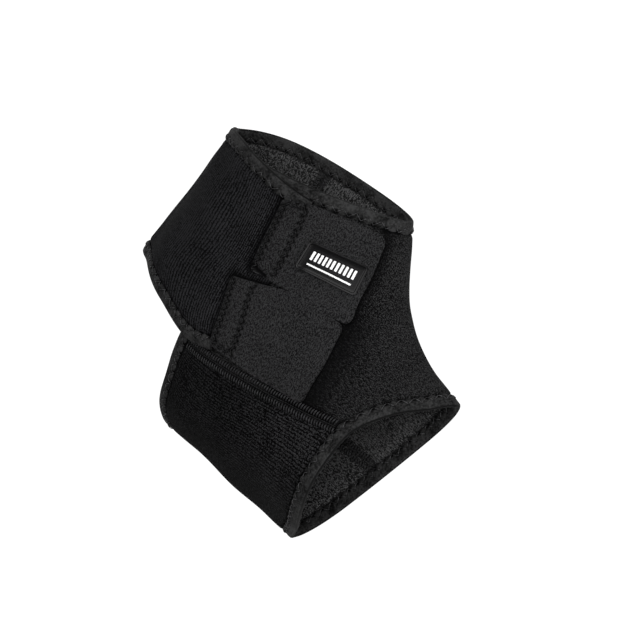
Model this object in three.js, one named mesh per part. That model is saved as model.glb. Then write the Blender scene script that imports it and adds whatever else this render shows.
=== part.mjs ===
// Slip-on ankle brace of padded stretch fabric, lying on one side: a leg opening, a toe opening
// and an open heel, taped edges, and a back flap that closes over the instep with two straps.
// Millimetres, +Z up from the side it lies on, +X towards the toes, +Y up the leg.
import * as THREE from 'three';

// Driving sizes
const LENGTH = 190;          // sole corner of the leg side to the front of the toe opening, along X
const HEIGHT = 172;          // sole to the top of the leg opening, along Y
const CROWN = 38;            // top of the arched upper wall above the floor, at its middle
const FOLD = 14;             // height of the front and back folds above the floor
const WALL = 3;              // padded fabric
const PRESSED = 1.0;         // the same fabric where a tape or a seam presses it
const TAPE_WIDTH = 6;        // folded edge tape, seen from one side
const TAPE = 0.8;            // thickness of the tape
const SEAM_WIDTH = 6;        // flat seam between two panels
const STRAP = 1.4;           // thickness of the two closing straps
const LABEL = 1.2;           // thickness of the rubber label
const LABEL_CORNER = 2;      // radius of the label's corners
const STRAP_CORNER = 4.5;    // radius of the straps' free corners
const STRAP_SEAM_CORNER = 0.6;   // radius of their corners at the seam on the flap
const GAP = 0.3;             // clearance between pieces that touch
const TAPE_ROOM = 0.4;       // clearance inside the folded tape
const LIFT_ROOM = 0.4;       // clearance of the flap over the taped edge that it covers
const TAPER = 1;             // stretch over which pressed fabric swells back to its full wall
const LEG_BOW = 5.0;         // lower wall's rim bows out of the leg opening by this much
const TOE_BOW = 4;           // upper wall's rim bows into the foot at the toe opening
const TOE_LIP = 1.2;         // lower wall's rim bows out of the toe opening by this much
const PANEL_STEP = 10;       // spacing of a panel's columns
const ROW_STEP = 13;         // spacing of a panel's rows
const TAPE_STEP = 7;         // spacing of the sections along a tape or a seam

// Sections from the leg opening to the toe opening. The places of the front and back folds are
// shares of LENGTH and HEIGHT from the middle of the ankle, the crown is a share of CROWN
const SECTIONS = [
  { frontX: 0.034, frontY: 0.413, backX: -0.513, backY: 0.206, crown: 1.00 },
  { frontX: 0.074, frontY: 0.366, backX: -0.509, backY: 0.096, crown: 0.97 },
  { frontX: 0.108, frontY: 0.323, backX: -0.510, backY: -0.029, crown: 0.95 },
  { frontX: 0.142, frontY: 0.282, backX: -0.511, backY: -0.157, crown: 0.95 },
  { frontX: 0.174, frontY: 0.250, backX: -0.508, backY: -0.285, crown: 0.95 },
  { frontX: 0.208, frontY: 0.227, backX: -0.442, backY: -0.401, crown: 0.95 },
  { frontX: 0.247, frontY: 0.206, backX: -0.316, backY: -0.491, crown: 0.95 },
  { frontX: 0.295, frontY: 0.189, backX: -0.171, backY: -0.570, crown: 0.95 },
  { frontX: 0.345, frontY: 0.177, backX: 0.011, backY: -0.541, crown: 0.97 },
  { frontX: 0.395, frontY: 0.172, backX: 0.187, backY: -0.509, crown: 1.00 },
  { frontX: 0.450, frontY: 0.169, backX: 0.353, backY: -0.477, crown: 1.05 },
];

// How the walls rise beside a fold, as shares of CROWN, and how sharply they arch
const SHOULDER = 0.47;
const SOLE_SHOULDER = 0.29;   // taken off the shoulder towards the sole of the toe opening
const ARCH_POWER = 2.5;
const FLAT_START = 0.85;      // the lower wall lies flat where the girth's sine passes this
const FLAT_POWER = 1.5;       // how sharply it turns up beside that
const TOE_REACH = 0.3;        // share of the heights over which the shoulder changes at the toes
const RIM_REACH = 0.35;       // how far from a rim its bow is felt
const BOW_POWER = 1.6;        // how much the lower wall's bow keeps to its middle
const BOW_FRONT = 0.55;       // leg rim's bow at the front fold and at the back fold
const BOW_BACK = 1.45;

// How finely the pieces are divided
const FOLD_DENSITY = 2;       // how many more sections there are at a fold
const FOLD_POWER = 8;         // how closely those keep to the fold
const LINE_STEPS = 80;        // steps that measure a line before it is spaced
const EDGE_STEPS = 60;        // steps of the edges that distances are measured from
const SEAM_STEPS = 200;       // steps that find where a seam is clear of the tapes
const BISECTIONS = 22;
const SWEEP_STEPS = 3;        // steps of a walk from an edge into a panel
const CORNER_SHARES = [0, 0.08, 0.3, 0.6, 1];   // rows of a patch over its corner's radius
const INSIDE = 0.03;          // share by which a panel's inside is found beside its edge
const SLOPE_STEP = 1e-4;

// Pattern lines on the shell as [height, girth]. Height runs from 0 at the leg opening to 1 at the
// toe opening. Girth runs from 0 at the front fold over the upper wall to 1 at the back fold, then
// along the lower wall to 2, which is the front fold again
const NOTCH = 0.560;          // where the near seam and the far seam reach the heel opening
const FAR_NOTCH = 0.553;
const TOE_CORNER = 0.950;     // where the near seam reaches the toe opening
const NEAR_EDGE = [
  [0, 0.700], [0.276, 0.675], [NOTCH, 0.618], [0.584, 0.603], [0.611, 0.575], [0.645, 0.530],
  [0.701, 0.477], [0.769, 0.445], [0.833, 0.420], [0.911, 0.390], [TOE_CORNER, 0.380],
];
const FAR_EDGE = [[0, 1.478], [0.270, 1.440], [FAR_NOTCH, 1.400], [0.760, 1.452], [1, 1.487]];
const TOE_RIM = [
  [1, 0], [0.990, 0.142], [0.952, 0.249], [0.943, 0.330], [TOE_CORNER, 0.380], [0.966, 0.430],
  [0.996, 0.495], [1.020, 0.630], [1.018, 0.775], [1.005, 0.900], [1, 1], [1, 1.225], [1, 1.487],
];
const FLAP_END = [[0.042, 0.366], [0.200, 0.381], [0.350, 0.391], [0.490, 0.422], [0.620, 0.492]];
const FLAP_COLUMNS = [
  [[0.018, 0.440], [0.175, 0.448], [0.325, 0.455], [0.465, 0.480], [0.604, 0.535]],
  [[-0.008, 0.520], [0.150, 0.520], [0.300, 0.525], [0.440, 0.550], [0.570, 0.591]],
  [[-0.026, 0.640], [0.115, 0.642], [0.245, 0.645], [0.370, 0.650], [0.488, 0.656]],
  [[-0.020, 0.760], [0.100, 0.759], [0.215, 0.758], [0.320, 0.758], [0.423, 0.758]],
  [[-0.010, 0.880], [0.100, 0.880], [0.200, 0.880], [0.300, 0.880], [0.397, 0.880]],
  [[0, 1.000], [0.100, 1.000], [0.200, 1.000], [0.298, 1.000], [0.395, 1.000]],
  [[0, 1.155], [0.105, 1.155], [0.205, 1.155], [0.305, 1.155], [0.408, 1.155]],
  [[0, 1.310], [0.120, 1.302], [0.235, 1.295], [0.345, 1.287], [0.455, 1.280]],
];
const FOOT_COLUMNS = [
  [[0.600, 0.664], [0.790, 0.550], [0.996, 0.495]],
  [[0.645, 0.722], [0.835, 0.660], [1.020, 0.630]],
  [[0.680, 0.800], [0.850, 0.785], [1.018, 0.775]],
  [[0.712, 0.890], [0.860, 0.895], [1.005, 0.900]],
  [[0.724, 1.000], [0.862, 1.000], [1, 1.000]],
  [[0.712, 1.110], [0.860, 1.100], [1, 1.090]],
  [[0.684, 1.210], [0.845, 1.220], [1, 1.225]],
  [[0.640, 1.300], [0.815, 1.335], [1, 1.370]],
];
const UPPER_STRAP = [
  [[0.088, 0.430], [0.205, 0.438], [0.340, 0.442]],
  [[0.092, 0.303], [0.244, 0.321], [0.424, 0.340]],
  [[0.093, 0.146], [0.302, 0.192], [0.539, 0.245]],
];
const LOWER_STRAP = [
  [[0.386, 0.468], [0.490, 0.485], [0.568, 0.523]],
  [[0.434, 0.345], [0.570, 0.399], [0.682, 0.453]],
  [[0.549, 0.250], [0.689, 0.320], [0.811, 0.417]],
];
const LABEL_PATCH = [
  [[0.181, 0.345], [0.241, 0.352], [0.298, 0.359]],
  [[0.205, 0.271], [0.269, 0.281], [0.336, 0.289]],
  [[0.232, 0.188], [0.306, 0.202], [0.390, 0.215]],
];

// Tape over the pressed edges, and seams of the same height
const TAPE_INSIDE = PRESSED / 2 + TAPE_ROOM;        // tape's faces from the fabric's middle
const TAPE_OUT = TAPE_INSIDE + TAPE;
const TAPE_ROUND = TAPE * 0.7;                      // cut off the tape's outer corners
const SEAM_PROFILE = [[-1, 0.3], [-0.6, 1], [0, 1], [0.6, 1], [1, 0.3]];   // [across, share of TAPE]
const FLAP_TAPE_END = 0.1;                          // share along the flap's hem, short of the strap
const EDGE_LENGTH = 0.9 * HEIGHT;                   // near edge, from the leg opening to the toes
const FREE_EDGE_START = (TAPE_WIDTH + GAP) / EDGE_LENGTH;   // below the leg tape

// Flap and straps over the pieces below them
const FLAP_LIFT = 2 * TAPE_OUT + LIFT_ROOM;         // flap's middle above the wall that it covers
const LIFT_START = 0.17;                            // girth past the hidden edge where it is down
const LIFT_RUN = 0.15;
const STRAP_LOW = WALL / 2 + GAP + STRAP / 2;       // strap's middle where it lies on the wall
const END_SKIN = 0.9;                               // flap's half wall where the straps press it
const STRAP_HIGH = FLAP_LIFT + END_SKIN + GAP + STRAP / 2;
const STRAP_DROP = 0.052;                           // girth over which a strap comes down
const STRAP_CLEAR = 0.004;                          // girth by which it clears the flap's end
const PRESS_START = 0.075;                          // girth from the flap's end where its wall
const PRESS_END = 0.11;                             // begins to swell, and where it is full

const LOOKS = {
  jersey: { color: 0x1b1b1c, roughness: 0.95 },
  loop: { color: 0x1f1f20, roughness: 0.98 },
  strap: { color: 0x29292a, roughness: 0.95 },
  tape: { color: 0x232324, roughness: 0.8 },
  seam: { color: 0x1d1d1e, roughness: 0.85 },
  rubber: { color: 0x0c0c0d, roughness: 0.35 },
};

function clamp(value, low, high) {
  return Math.min(Math.max(value, low), high);
}

function ease(value) {
  const x = clamp(value, 0, 1);
  return x * x * (3 - 2 * x);
}

// Smooth curve through evenly spaced points, each a list of numbers
function spline(points) {
  const last = points.length - 1;
  const before = points[0].map((value, k) => 2 * value - points[1][k]);
  const after = points[last].map((value, k) => 2 * value - points[last - 1][k]);
  const all = [before, ...points, after];
  return (share) => {
    const place = share * last;
    const i = clamp(Math.floor(place), 0, last - 1);
    const f = place - i;
    return points[0].map((_, k) => {
      const [a, b, c, d] = [all[i][k], all[i + 1][k], all[i + 2][k], all[i + 3][k]];
      return 0.5 * (2 * b + (c - a) * f + (2 * a - 5 * b + 4 * c - d) * f * f
        + (3 * b - a - 3 * c + d) * f * f * f);
    });
  };
}

// Smooth value from a table of unevenly spaced pairs: looks up by one column, gives the other,
// and keeps the first or last value outside the table
function lookup(table, from, to) {
  const x = table.map((row) => row[from]);
  const y = table.map((row) => row[to]);
  const slope = x.map((_, i) => {
    const a = Math.max(i - 1, 0);
    const b = Math.min(i + 1, x.length - 1);
    return (y[b] - y[a]) / (x[b] - x[a]);
  });
  return (value) => {
    let i = 0;
    while (i < x.length - 2 && value > x[i + 1]) i += 1;
    const h = x[i + 1] - x[i];
    const f = clamp((value - x[i]) / h, 0, 1);
    return y[i] * (1 + 2 * f) * (1 - f) ** 2 + slope[i] * h * f * (1 - f) ** 2
      + y[i + 1] * f * f * (3 - 2 * f) + slope[i + 1] * h * f * f * (f - 1);
  };
}

const sectionAt = spline(SECTIONS.map((s) => [
  s.frontX * LENGTH, s.frontY * HEIGHT, s.backX * LENGTH, s.backY * HEIGHT, s.crown * CROWN,
]));
const nearEdge = lookup(NEAR_EDGE, 0, 1);
const farEdge = lookup(FAR_EDGE, 0, 1);
const toeRim = lookup(TOE_RIM, 1, 0);
const flapEnd = lookup(FLAP_END, 0, 1);

// Middle of the wall at a height and a girth
function middle(height, girth) {
  const q = ((((girth + 1) % 2) + 2) % 2) - 1;
  const [frontX, frontY, backX, backY, crown] = sectionAt(height);
  const across = (1 - Math.cos(Math.PI * q)) / 2;
  const bulge = Math.abs(Math.sin(Math.PI * q));
  const nearToe = clamp(1 - (1 - height) / TOE_REACH, 0, 1) ** 2;
  const shoulder = CROWN * (SHOULDER - SOLE_SHOULDER * across * nearToe);
  const flat = 1 - (1 - clamp(bulge / FLAT_START, 0, 1)) ** FLAT_POWER;
  const z = q >= 0
    ? FOLD + shoulder * bulge + (crown - shoulder) * bulge ** ARCH_POWER
    : FOLD - (FOLD - WALL / 2) * flat;
  const length = Math.hypot(frontX - backX, frontY - backY);
  const atLegRim = clamp(1 - height / RIM_REACH, 0, 1) ** 2;
  const atToeRim = clamp(1 - (1 - height) / RIM_REACH, 0, 1) ** 2;
  const bowShare = BOW_FRONT + (BOW_BACK - BOW_FRONT) * across;
  const bow = q >= 0
    ? TOE_BOW * atToeRim * bulge
    : (LEG_BOW * atLegRim * bowShare - TOE_LIP * atToeRim) * bulge ** BOW_POWER;
  return new THREE.Vector3(
    frontX + (backX - frontX) * across - ((frontY - backY) / length) * bow,
    frontY + (backY - frontY) * across + ((frontX - backX) / length) * bow,
    z,
  );
}

function slopes(height, girth) {
  const e = SLOPE_STEP;
  const up = middle(height + e, girth).sub(middle(height - e, girth)).divideScalar(2 * e);
  const round = middle(height, girth + e).sub(middle(height, girth - e)).divideScalar(2 * e);
  return { up, round, normal: round.clone().cross(up).normalize() };
}

// Point at a distance outwards from the wall's middle, never below the floor
function shellPoint(height, girth, outwards) {
  const point = middle(height, girth).addScaledVector(slopes(height, girth).normal, outwards);
  point.z = Math.max(point.z, 0);
  return point;
}

function noLift() {
  return 0;
}

function flapLift(height, girth) {
  return FLAP_LIFT * ease((nearEdge(clamp(height, 0, NOTCH)) + LIFT_START - girth) / LIFT_RUN);
}

function strapMiddle(height, girth) {
  const past = girth - flapEnd(height) + STRAP_CLEAR;
  return STRAP_LOW + (STRAP_HIGH - STRAP_LOW) * ease(past / STRAP_DROP + 1);
}

// Patch whose columns run from its top edge to its bottom edge, each a curve of [height, girth]
function patch(columns) {
  return (a, b) => spline(columns.map((column) => column(b)))(a);
}

function seamColumn(edge, top, bottom) {
  return (b) => {
    const height = top + (bottom - top) * b;
    return [height, edge(height)];
  };
}

const PANELS = {
  flap: {
    lift: flapLift,
    at: patch([spline(FLAP_END), ...FLAP_COLUMNS.map(spline), seamColumn(farEdge, 0, FAR_NOTCH)]),
    edges: { top: 'tape', bottom: 'tape', start: 'cut', end: 'seam' },
  },
  foot: {
    lift: noLift,
    at: patch([seamColumn(nearEdge, NOTCH, TOE_CORNER), ...FOOT_COLUMNS.map(spline),
      seamColumn(farEdge, FAR_NOTCH, 1)]),
    edges: { top: 'tape', bottom: 'tape', start: 'seam', end: 'seam' },
  },
  instep: {
    lift: noLift,
    at: (a, b) => {
      const rimNear = nearEdge(TOE_CORNER);
      const height = b * toeRim(rimNear + (farEdge(1) - 2 - rimNear) * a);
      const near = nearEdge(height);
      return [height, near + (farEdge(height) - 2 - near) * a];
    },
    edges: { top: 'tape', bottom: 'tape', start: 'tape then seam', end: 'seam' },
  },
};

// Station at a share of the line between two places on a panel: its height and girth, those of a
// point beside it in the panel, and the panel's lift
function stationAt(panel, from, to, share) {
  const [a, b] = [0, 1].map((k) => from[k] + (to[k] - from[k]) * share);
  const [height, girth] = panel.at(a, b);
  const inside = panel.at(clamp(a, INSIDE, 1 - INSIDE), clamp(b, INSIDE, 1 - INSIDE));
  return { height, girth, inside, lift: panel.lift };
}

function edgeLine(panel, from, to, steps) {
  return Array.from({ length: steps + 1 }, (_, i) => stationAt(panel, from, to, i / steps));
}

function onShell(station, outwards) {
  const lift = station.lift(station.height, station.girth);
  return shellPoint(station.height, station.girth, outwards + lift);
}

// Shares along a line from one panel place to another, about a step apart and closer at the folds
function spacedShares(panel, from, to, step) {
  const fine = edgeLine(panel, from, to, LINE_STEPS);
  const sums = [0];
  for (let i = 1; i < fine.length; i += 1) {
    const atFold = Math.abs(Math.cos(Math.PI * fine[i].girth)) ** FOLD_POWER;
    const length = onShell(fine[i], 0).distanceTo(onShell(fine[i - 1], 0));
    sums.push(sums[i - 1] + length * (1 + FOLD_DENSITY * atFold));
  }
  const total = sums[sums.length - 1];
  const count = Math.max(2, Math.round(total / step));
  return Array.from({ length: count + 1 }, (_, k) => {
    const target = (total * k) / count;
    let i = 1;
    while (i < sums.length - 1 && sums[i] < target) i += 1;
    return (i - 1 + (target - sums[i - 1]) / (sums[i] - sums[i - 1])) / (fine.length - 1);
  });
}

function spacedLine(panel, from, to) {
  const shares = spacedShares(panel, from, to, TAPE_STEP);
  return shares.map((share) => stationAt(panel, from, to, share));
}

const { flap, foot, instep } = PANELS;
const NOTCH_SHARE = NOTCH / TOE_CORNER;
const legLine = [
  ...spacedLine(instep, [0, 0], [1, 0]),
  ...spacedLine(flap, [1, 0], [0, 0]).slice(1),
];
const toeLine = [
  ...spacedLine(instep, [0, 1], [1, 1]),
  ...spacedLine(foot, [1, 1], [0, 1]).slice(1, -1),
];
const heelLine = [
  ...spacedLine(instep, [0, FREE_EDGE_START], [0, NOTCH_SHARE]),
  ...spacedLine(foot, [0, 0], [1, 0]).slice(1),
  ...spacedLine(flap, [1, 1], [FLAP_TAPE_END, 1]).slice(1),
];

function polyline(line) {
  return line.map((station) => onShell(station, 0));
}

const closest = new THREE.Vector3();
const segment = new THREE.Line3();

function distanceTo(point, points) {
  let best = Infinity;
  for (let i = 1; i < points.length; i += 1) {
    segment.set(points[i - 1], points[i]).closestPointToPoint(point, true, closest);
    best = Math.min(best, closest.distanceTo(point));
  }
  return best;
}

// Share at which a walk across a panel is the given distance from an edge
function shareAt(point, edge, distance, forward) {
  let low = 0;
  let high = 0.5;
  for (let i = 0; i < BISECTIONS; i += 1) {
    const share = (low + high) / 2;
    if (distanceTo(point(forward ? share : 1 - share), edge) < distance) low = share;
    else high = share;
  }
  return forward ? (low + high) / 2 : 1 - (low + high) / 2;
}

function edgeDistances(kind) {
  if (kind === 'tape') return [TAPE + 2 * TAPE_ROOM, TAPE_WIDTH + GAP, TAPE_WIDTH + GAP + TAPER];
  if (kind === 'seam') return [GAP / 2, SEAM_WIDTH / 2 + GAP, SEAM_WIDTH / 2 + GAP + TAPER];
  return [GAP / 2];
}

// Shares of the grid lines between two edges of a panel; spread holds the shares between them
function gridShares(point, startEdge, endEdge, startKind, endKind, spread) {
  const start = edgeDistances(startKind).map((d) => shareAt(point, startEdge, d, true));
  const end = edgeDistances(endKind).map((d) => shareAt(point, endEdge, d, false)).reverse();
  const first = start[start.length - 1];
  return [...start, ...spread.slice(1, -1).map((share) => first + (end[0] - first) * share), ...end];
}

// Closed body between two faces over the same grid of points
function slab(outer, inner) {
  const rows = outer.length;
  const columns = outer[0].length;
  const positions = [...outer.flat(), ...inner.flat()].flatMap((point) => point.toArray());
  const index = [];
  const top = (i, j) => i * columns + j;
  const under = (i, j) => rows * columns + i * columns + j;
  const quad = (a, b, c, d) => index.push(a, b, c, a, c, d);
  for (let i = 0; i + 1 < rows; i += 1) {
    for (let j = 0; j + 1 < columns; j += 1) {
      quad(top(i, j), top(i, j + 1), top(i + 1, j + 1), top(i + 1, j));
      quad(under(i, j), under(i + 1, j), under(i + 1, j + 1), under(i, j + 1));
    }
  }
  for (let i = 0; i + 1 < rows; i += 1) {
    quad(top(i, 0), top(i + 1, 0), under(i + 1, 0), under(i, 0));
    const end = columns - 1;
    quad(top(i + 1, end), top(i, end), under(i, end), under(i + 1, end));
  }
  for (let j = 0; j + 1 < columns; j += 1) {
    quad(top(0, j + 1), top(0, j), under(0, j), under(0, j + 1));
    quad(top(rows - 1, j), top(rows - 1, j + 1), under(rows - 1, j + 1), under(rows - 1, j));
  }
  return solid(positions, index);
}

// Geometry from positions and triangles, turned so that its faces point out
function solid(positions, index) {
  const corner = (k) => new THREE.Vector3().fromArray(positions, 3 * index[k]);
  let volume = 0;
  for (let k = 0; k < index.length; k += 3) volume += corner(k).dot(corner(k + 1).cross(corner(k + 2)));
  const faces = volume > 0 ? index : index.slice().reverse();
  const geometry = new THREE.BufferGeometry();
  geometry.setAttribute('position', new THREE.Float32BufferAttribute(positions, 3));
  geometry.setIndex(faces);
  geometry.computeVertexNormals();
  return geometry;
}

// Taped edges of each panel, and those of its neighbours that turn the corner at a notch
const edgePoints = (panel, from, to) => polyline(edgeLine(panel, from, to, EDGE_STEPS));
const freeEdge = edgePoints(instep, [0, 0], [0, NOTCH_SHARE]);
const rearEdge = edgePoints(foot, [0, 0], [1, 0]);
const tapedEdges = {
  flap: [edgePoints(flap, [0, 0], [1, 0]), edgePoints(flap, [0, 1], [1, 1])],
  foot: [rearEdge, edgePoints(foot, [0, 1], [1, 1])],
  instep: [edgePoints(instep, [0, 0], [1, 0]), edgePoints(instep, [0, 1], [1, 1]), freeEdge],
};
const tapedCorners = { flap: [], foot: [freeEdge], instep: [rearEdge] };
const seamedEdges = [
  edgePoints(foot, [0, 0], [0, 1]), edgePoints(foot, [1, 0], [1, 1]), edgePoints(flap, [1, 0], [1, 1]),
];

// Flap's wall is pressed towards its end, where the straps cover it
function endWall(panel, height, girth) {
  if (panel !== flap) return WALL / 2;
  const along = girth - flapEnd(height);
  const share = ease((along - PRESS_START) / (PRESS_END - PRESS_START));
  return END_SKIN + (WALL / 2 - END_SKIN) * share;
}

function panelGeometry(name) {
  const panel = PANELS[name];
  const near = (point, edges, width) => edges.some((points) => distanceTo(point, points) < width);
  const place = (a, b) => {
    const [height, girth] = panel.at(a, b);
    return shellPoint(height, girth, panel.lift(height, girth));
  };
  const edges = {
    top: edgePoints(panel, [0, 0], [1, 0]),
    bottom: edgePoints(panel, [0, 1], [1, 1]),
    start: edgePoints(panel, [0, 0], [0, 1]),
    end: edgePoints(panel, [1, 0], [1, 1]),
  };
  const across = spacedShares(panel, [0, 0.5], [1, 0.5], PANEL_STEP);
  const down = spacedShares(panel, [0.5, 0], [0.5, 1], ROW_STEP).slice(1);
  const nominal = gridShares((b) => place(0.5, b), edges.top, edges.bottom, 'tape', 'tape', down);
  if (panel.edges.start === 'tape then seam') {
    const gaps = nominal.map((b) => Math.abs(b - NOTCH_SHARE));
    nominal[gaps.indexOf(Math.min(...gaps))] = NOTCH_SHARE;
  }
  const edgeRows = edgeDistances('tape').length;
  const outer = [];
  const inner = [];
  for (let j = 0; j < nominal.length; j += 1) {
    let startKind = panel.edges.start;
    if (startKind === 'tape then seam') startKind = nominal[j] <= NOTCH_SHARE ? 'tape' : 'seam';
    const acrossShares = gridShares((a) => place(a, nominal[j]), edges.start, edges.end,
      startKind, panel.edges.end, across);
    const outerRow = [];
    const innerRow = [];
    for (const a of acrossShares) {
      const isEdgeRow = j < edgeRows || j >= nominal.length - edgeRows;
      const column = (share) => place(a, share);
      const b = isEdgeRow
        ? gridShares(column, edges.top, edges.bottom, 'tape', 'tape', down)[j]
        : nominal[j];
      const [height, girth] = panel.at(a, b);
      const point = place(a, b);
      const lift = panel.lift(height, girth);
      const underTape = near(point, tapedEdges[name], TAPE_WIDTH + GAP + TAPER / 2)
        || near(point, tapedCorners[name], TAPE_WIDTH + GAP + PANEL_STEP);
      const underSeam = near(point, seamedEdges, SEAM_WIDTH / 2 + GAP + TAPER / 2);
      const wall = endWall(panel, height, girth);
      outerRow.push(shellPoint(height, girth, lift + (underTape || underSeam ? PRESSED / 2 : wall)));
      innerRow.push(shellPoint(height, girth, lift - (underTape ? PRESSED / 2 : WALL / 2)));
    }
    outer.push(outerRow);
    inner.push(innerRow);
  }
  return slab(outer, inner);
}

// Station moved into the panel by a distance measured on the shell
function inwards(line, i, distance, closed) {
  const count = line.length;
  const at = (k) => onShell(line[closed ? (k + count) % count : clamp(k, 0, count - 1)], 0);
  const along = at(i + 1).sub(at(i - 1)).normalize();
  const station = line[i];
  const beside = { ...station, height: station.inside[0], girth: station.inside[1] };
  const target = onShell(beside, 0).sub(at(i));
  let { height, girth } = station;
  for (let s = 0; s < SWEEP_STEPS; s += 1) {
    const { up, round, normal } = slopes(height, girth);
    const inward = normal.clone().cross(along).normalize();
    if (inward.dot(target) < 0) inward.negate();
    const uu = up.dot(up);
    const ur = up.dot(round);
    const rr = round.dot(round);
    const size = distance / SWEEP_STEPS;
    const pu = up.dot(inward) * size;
    const pr = round.dot(inward) * size;
    const det = uu * rr - ur * ur;
    height += (pu * rr - pr * ur) / det;
    girth += (pr * uu - pu * ur) / det;
  }
  return { ...station, height, girth };
}

// Sweep of a section, given as [distance into the panel, distance outwards], along a line
function sweep(line, section, closed) {
  const positions = [];
  const index = [];
  const width = section.length;
  line.forEach((station, i) => {
    section.forEach(([into, outwards]) => {
      const moved = inwards(line, i, into, closed);
      const lift = station.lift(moved.height, moved.girth);
      positions.push(...shellPoint(moved.height, moved.girth, outwards + lift).toArray());
    });
  });
  const rings = line.length;
  for (let i = 0; i < (closed ? rings : rings - 1); i += 1) {
    const next = (i + 1) % rings;
    for (let k = 0; k < width; k += 1) {
      const side = (k + 1) % width;
      index.push(i * width + k, next * width + k, next * width + side);
      index.push(i * width + k, next * width + side, i * width + side);
    }
  }
  if (!closed) {
    const outline = section.map(([into, outwards]) => new THREE.Vector2(into, outwards));
    for (const [a, b, c] of THREE.ShapeUtils.triangulateShape(outline, [])) {
      const turned = THREE.ShapeUtils.isClockWise(outline) ? [a, c, b] : [a, b, c];
      const end = (rings - 1) * width;
      index.push(turned[0], turned[1], turned[2]);
      index.push(end + turned[0], end + turned[2], end + turned[1]);
    }
  }
  return solid(positions, index);
}

// Folded tape: a channel round the pressed edge, with its outer corners cut
const TAPE_SECTION = [
  [TAPE_WIDTH, TAPE_OUT], [TAPE_ROUND, TAPE_OUT],
  [0, TAPE_OUT - TAPE_ROUND], [0, TAPE_ROUND - TAPE_OUT],
  [TAPE_ROUND, -TAPE_OUT], [TAPE_WIDTH, -TAPE_OUT],
  [TAPE_WIDTH, -TAPE_INSIDE], [TAPE, -TAPE_INSIDE],
  [TAPE, TAPE_INSIDE], [TAPE_WIDTH, TAPE_INSIDE],
];

// Stretch of a seam that is clear of the tapes across its ends
function clearSeam(name, a) {
  const panel = PANELS[name];
  const fine = edgeLine(panel, [a, 0], [a, 1], SEAM_STEPS);
  const clear = fine.map((_, i) => [-1, 0, 1].every((side) => {
    const point = onShell(inwards(fine, i, (side * SEAM_WIDTH) / 2, false), 0);
    return tapedEdges[name].every((points) => distanceTo(point, points) > TAPE_WIDTH + GAP);
  }));
  const [first, last] = [clear.indexOf(true), clear.lastIndexOf(true)];
  return spacedLine(panel, [a, first / SEAM_STEPS], [a, last / SEAM_STEPS]);
}

// Flat seam strip, sunk between the swollen edges of the two panels that it joins
function seamGeometry(line) {
  const outer = [];
  const inner = [];
  line.forEach((_, i) => {
    const places = SEAM_PROFILE.map(([side]) => inwards(line, i, (side * SEAM_WIDTH) / 2, false));
    outer.push(places.map(({ height, girth }, k) => (
      shellPoint(height, girth, TAPE_INSIDE + TAPE * SEAM_PROFILE[k][1]))));
    inner.push(places.map(({ height, girth }) => shellPoint(height, girth, TAPE_INSIDE)));
  });
  return slab(outer, inner);
}

// How far a rounded corner takes a row back, for a row at a distance from the corner's side
function cornerCut(distance, radius) {
  const d = clamp(distance, 0, radius);
  return radius - Math.sqrt(radius * radius - (radius - d) ** 2);
}

// Thin patch that follows the shell: columns run top to bottom, corners are rounded
function patchGeometry(columns, mid, thickness, startRadius, endRadius) {
  const at = patch(columns.map(spline));
  const place = (a, b) => {
    const [height, girth] = at(a, b);
    return shellPoint(height, girth, mid(height, girth));
  };
  const width = place(0, 0.5).distanceTo(place(1, 0.5));
  const depth = place(0.5, 0).distanceTo(place(0.5, 1));
  const radius = Math.max(startRadius, endRadius);
  const arc = CORNER_SHARES.map((share) => (share * radius) / depth);
  const end = radius / depth;
  const count = Math.max(2, Math.round((depth - 2 * radius) / TAPE_STEP));
  const inside = [];
  for (let i = 1; i < count; i += 1) inside.push(end + ((1 - 2 * end) * i) / count);
  const rows = [...arc, ...inside, ...arc.map((share) => 1 - share).reverse()];
  const across = Math.max(4, Math.round(width / (TAPE_STEP / 2)));
  const faces = [thickness / 2, -thickness / 2].map((side) => rows.map((b) => {
    const fromSide = Math.min(b, 1 - b) * depth;
    const from = cornerCut(fromSide, startRadius) / width;
    const to = 1 - cornerCut(fromSide, endRadius) / width;
    return Array.from({ length: across + 1 }, (_, i) => {
      const [height, girth] = at(from + ((to - from) * i) / across, b);
      return shellPoint(height, girth, mid(height, girth) + side);
    });
  }));
  return slab(faces[0], faces[1]);
}

function labelMiddle(height, girth) {
  return strapMiddle(height, girth) + STRAP / 2 + GAP + LABEL / 2;
}

const brace = new THREE.Group();

function add(name, geometry, look) {
  const material = new THREE.MeshStandardMaterial({ ...LOOKS[look], metalness: 0 });
  const mesh = new THREE.Mesh(geometry, material);
  mesh.name = name;
  brace.add(mesh);
}

function addPatch(name, columns, mid, thickness, corners, look) {
  add(name, patchGeometry(columns, mid, thickness, ...corners), look);
}

add('cuff_flap', panelGeometry('flap'), 'jersey');
add('foot_band', panelGeometry('foot'), 'jersey');
add('instep_panel', panelGeometry('instep'), 'loop');
add('leg_binding', sweep(legLine, TAPE_SECTION, false), 'tape');
add('toe_binding', sweep(toeLine, TAPE_SECTION, true), 'tape');
add('heel_binding', sweep(heelLine, TAPE_SECTION, false), 'tape');
add('near_seam', seamGeometry(clearSeam('foot', 0)), 'seam');
add('far_foot_seam', seamGeometry(clearSeam('foot', 1)), 'seam');
add('far_leg_seam', seamGeometry(clearSeam('flap', 1)), 'seam');
addPatch('upper_strap', UPPER_STRAP, strapMiddle, STRAP, [STRAP_SEAM_CORNER, STRAP_CORNER], 'strap');
addPatch('lower_strap', LOWER_STRAP, strapMiddle, STRAP, [STRAP_SEAM_CORNER, STRAP_CORNER], 'strap');
addPatch('label_patch', LABEL_PATCH, labelMiddle, LABEL, [LABEL_CORNER, LABEL_CORNER], 'rubber');

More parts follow.
